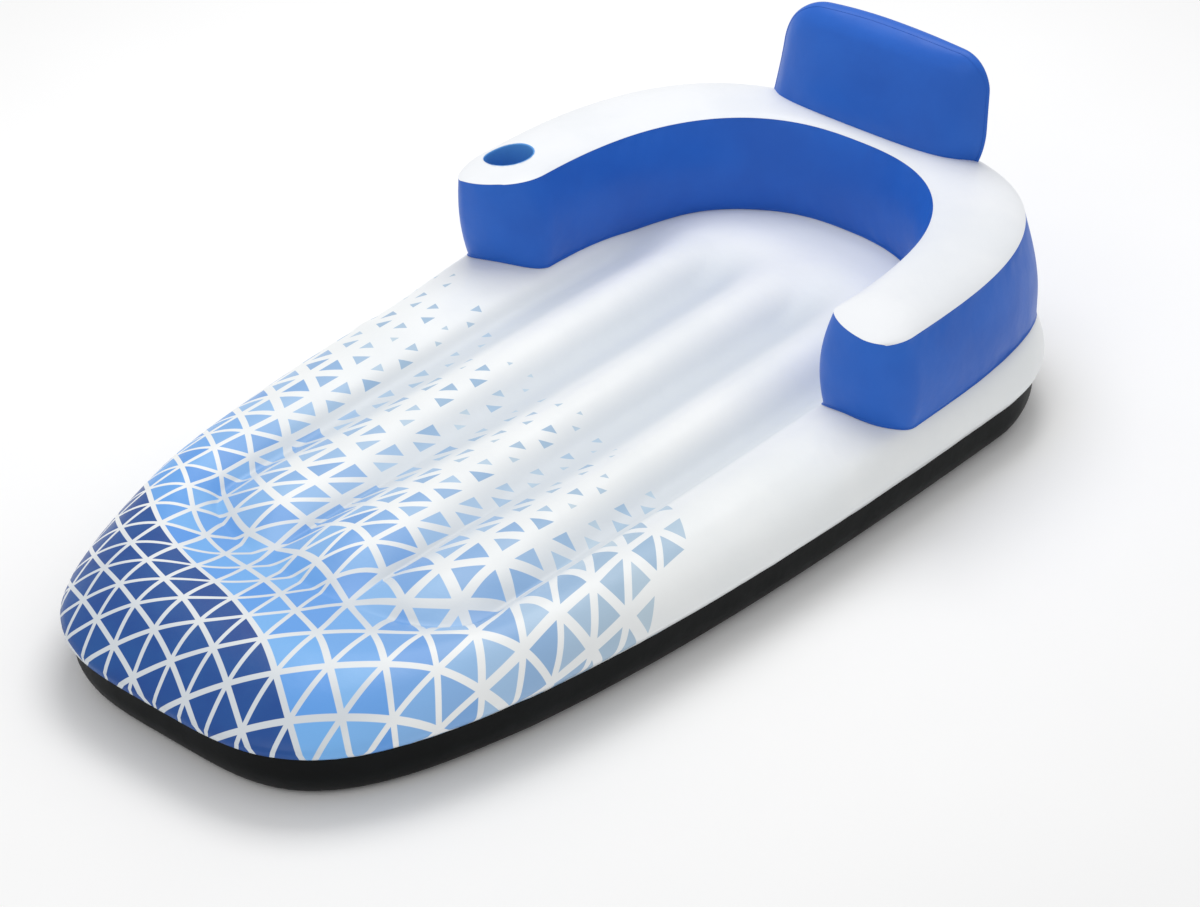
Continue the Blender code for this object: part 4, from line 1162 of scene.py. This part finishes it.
def printed_inputs(tree, place):
    """White vinyl with a triangle print that is dark at the foot end and breaks up towards the seat, with
    painted shade in the bed's valleys.
    """
    def run(operation, *values):
        return calculate(tree, operation, *values)

    sheet = add_node(tree, "UVMap", {}, uv_map="print")
    line, row = (add_node(tree, "SeparateXYZ", {0: sheet}, axis) for axis in (0, 1))
    nearest = 1.0
    cell = {}
    for axis, value in enumerate((line, row, run("ADD", line, row))):
        share = run("FRACT", value)
        nearest = run("MINIMUM", nearest, run("MINIMUM", share, run("SUBTRACT", 1.0, share)))
        cell[axis] = run("ADD", run("FLOOR", value), 0.5)
    luck = add_node(tree, "TexWhiteNoise", {"Vector": add_node(tree, "CombineXYZ", cell)}, "Value",
                    noise_dimensions="3D")
    level = cell[1]
    dark = run("LESS_THAN", level, 0.0)
    fade = remap(tree, level, 0.5, PRINT_ROWS, 0.0, 1.0, "LINEAR")
    across, height = (add_node(tree, "SeparateXYZ", {0: place}, axis) for axis in (0, 2))

    # Half the width of the white lines between the triangles: it grows towards the seat
    on_rim = remap(tree, across, 0.22, 0.34, 0.0, 1.0)
    uneven = run("MULTIPLY", run("MULTIPLY_ADD", luck, 0.1, -0.05), fade)
    middle = remap(tree, fade, 0.1, 0.86, 0.066, 0.245)
    rim = remap(tree, fade, 0.1, 1.0, 0.062, 0.125)
    spread = run("ADD", middle, run("MULTIPLY", run("SUBTRACT", rim, middle), on_rim))
    half = run("ADD", run("MULTIPLY_ADD", dark, -0.004, spread), uneven)
    gone = run("GREATER_THAN", level, run("MULTIPLY_ADD", luck, 1.5, PRINT_ROWS - 1.2))
    ink = remap(tree, run("SUBTRACT", nearest, run("ADD", half, gone)), -0.003, 0.008, 0.0, 1.0)

    worn = noise_value(tree, place, 14.0, 3.0)
    deep_ink = mix_colour(tree, worn, colour(16, 60, 140), colour(34, 92, 160))
    bright = mix_colour(tree, luck, colour(90, 154, 230), colour(122, 182, 240))
    faded = mix_colour(tree, luck, colour(154, 184, 212), colour(192, 210, 222))
    light_ink = mix_colour(tree, remap(tree, fade, 0.05, 0.7, 0.0, 1.0, "LINEAR"), bright, faded)
    inks = mix_colour(tree, dark, light_ink, deep_ink)
    # Painted shade: across the middle of the bed, the ground colour is mixed towards grey, more the lower
    # the sheet lies between its channels
    middle_bed = remap(tree, run("ABSOLUTE", across), 0.26, 0.34, 1.0, 0.0)
    painted_valley_shade = run("MULTIPLY", middle_bed, remap(tree, height, 0.146, 0.174, 0.85, 0.0))
    ground = clouded(tree, place, colour(241, 243, 243), colour(235, 238, 239))
    ground = mix_colour(tree, painted_valley_shade, ground, colour(206, 213, 220))
    return vinyl_surface(tree, place, mix_colour(tree, ink, ground, inks), 0.00001, 0.38, 0.08, 0.3)


# Light, floor and camera

def area_light(name, place, aim, size, power_watts):
    light = bpy.data.lights.new(name, "AREA")
    light.shape = "RECTANGLE"
    light.size, light.size_y = size
    light.energy = power_watts
    lamp = new_object(name, light)
    lamp.location = place
    lamp.rotation_euler = (Vector(aim) - Vector(place)).to_track_quat("-Z", "Y").to_euler()


def make_world():
    """White to the camera, and softer as light."""
    world = bpy.data.worlds.new("white_studio")
    bpy.context.scene.world = world
    world.use_nodes = True
    tree = world.node_tree
    tree.nodes.clear()
    seen = add_node(tree, "LightPath", {}, "Is Camera Ray")
    strength = remap(tree, seen, 0.0, 1.0, 0.64, 1.0)
    ground = add_node(tree, "Background", {"Color": (1.0, 1.0, 1.0, 1.0), "Strength": strength})
    add_node(tree, "OutputWorld", {"Surface": ground}, None)


def floor_inputs(tree, place):
    speck = noise_value(tree, place, 3.0, 2.0)
    tint = mix_colour(tree, speck, (0.97, 0.97, 0.97, 1), (0.99, 0.99, 0.99, 1))
    return {"Base Color": tint, "Roughness": 0.9, "Specular IOR Level": 0.0}


def make_floor():
    bpy.ops.mesh.primitive_plane_add(size=40.0, location=(0, 0, -0.0005))
    floor = bpy.context.object
    floor.name = "studio_floor"
    floor.data.materials.append(make_material("studio_floor", floor_inputs))


def make_camera():
    turn, tilt, distance = radians(40.59), radians(33.18), 5.789
    target = Vector((0.0, 0.0919, 0.0341))
    offset = Vector((sin(turn) * cos(tilt), -cos(turn) * cos(tilt), sin(tilt)))
    camera = bpy.data.cameras.new("photo_camera")
    camera.sensor_width = 36.0
    camera.lens = 105.07
    viewer = new_object("photo_camera", camera)
    viewer.location = target + offset * distance
    viewer.rotation_euler = (-offset).to_track_quat("-Z", "Y").to_euler()
    bpy.context.scene.camera = viewer


make_camera()
make_world()
make_floor()
area_light("overhead", (-0.7, 1.0, 3.0), (0.0, 0.0, 0.1), (2.2, 1.8), 47.0)
area_light("camera_side", (0.6, -3.4, 2.8), (0.0, 0.1, 0.1), (2.4, 2.0), 18.0)
bpy.context.scene.view_settings.view_transform = "Standard"

printed = make_material("printed_vinyl", printed_inputs)
white = plain_vinyl("white_vinyl", (234, 236, 239), (228, 231, 235), 0.4, 0.06, 0.3, 0.00001)
blue = plain_vinyl("blue_vinyl", (38, 102, 200), (34, 94, 190), 0.42, 0.0, 0.28)
# The pocket's blue is a lighter copy of the blue vinyl: painted light that offsets the shade inside the
# deep pocket
pocket_blue_with_painted_light = plain_vinyl("pocket_vinyl_with_painted_light", (92, 160, 226), (84, 152, 218), 0.45, 0.0, 0.3)
black = plain_vinyl("black_vinyl", (6, 8, 8), (11, 13, 14), 0.5, 0.0, 0.12)
strip = plain_vinyl("strip_vinyl", (214, 220, 228), (200, 208, 218), 0.4, 0.1)
clear = plain_vinyl("clear_vinyl", (206, 214, 224), (190, 202, 216), 0.24, 0.4)

base_top = make_base(printed, black)
base_tree = ground_tree(base_top)
panel, outer_wall = make_backrest(white, blue, base_tree)
panel_tree = ground_tree(panel)
make_cup(pocket_blue_with_painted_light, panel_tree)
headrest_back = make_headrest(blue, panel_tree)
make_tie_strips(strip, base_tree)
valves = valve_places()
seat_valve(base_top, valves["base"])
seat_valve(outer_wall, valves["backrest"])
seat_valve(headrest_back, valves["headrest"])
make_valves(clear)
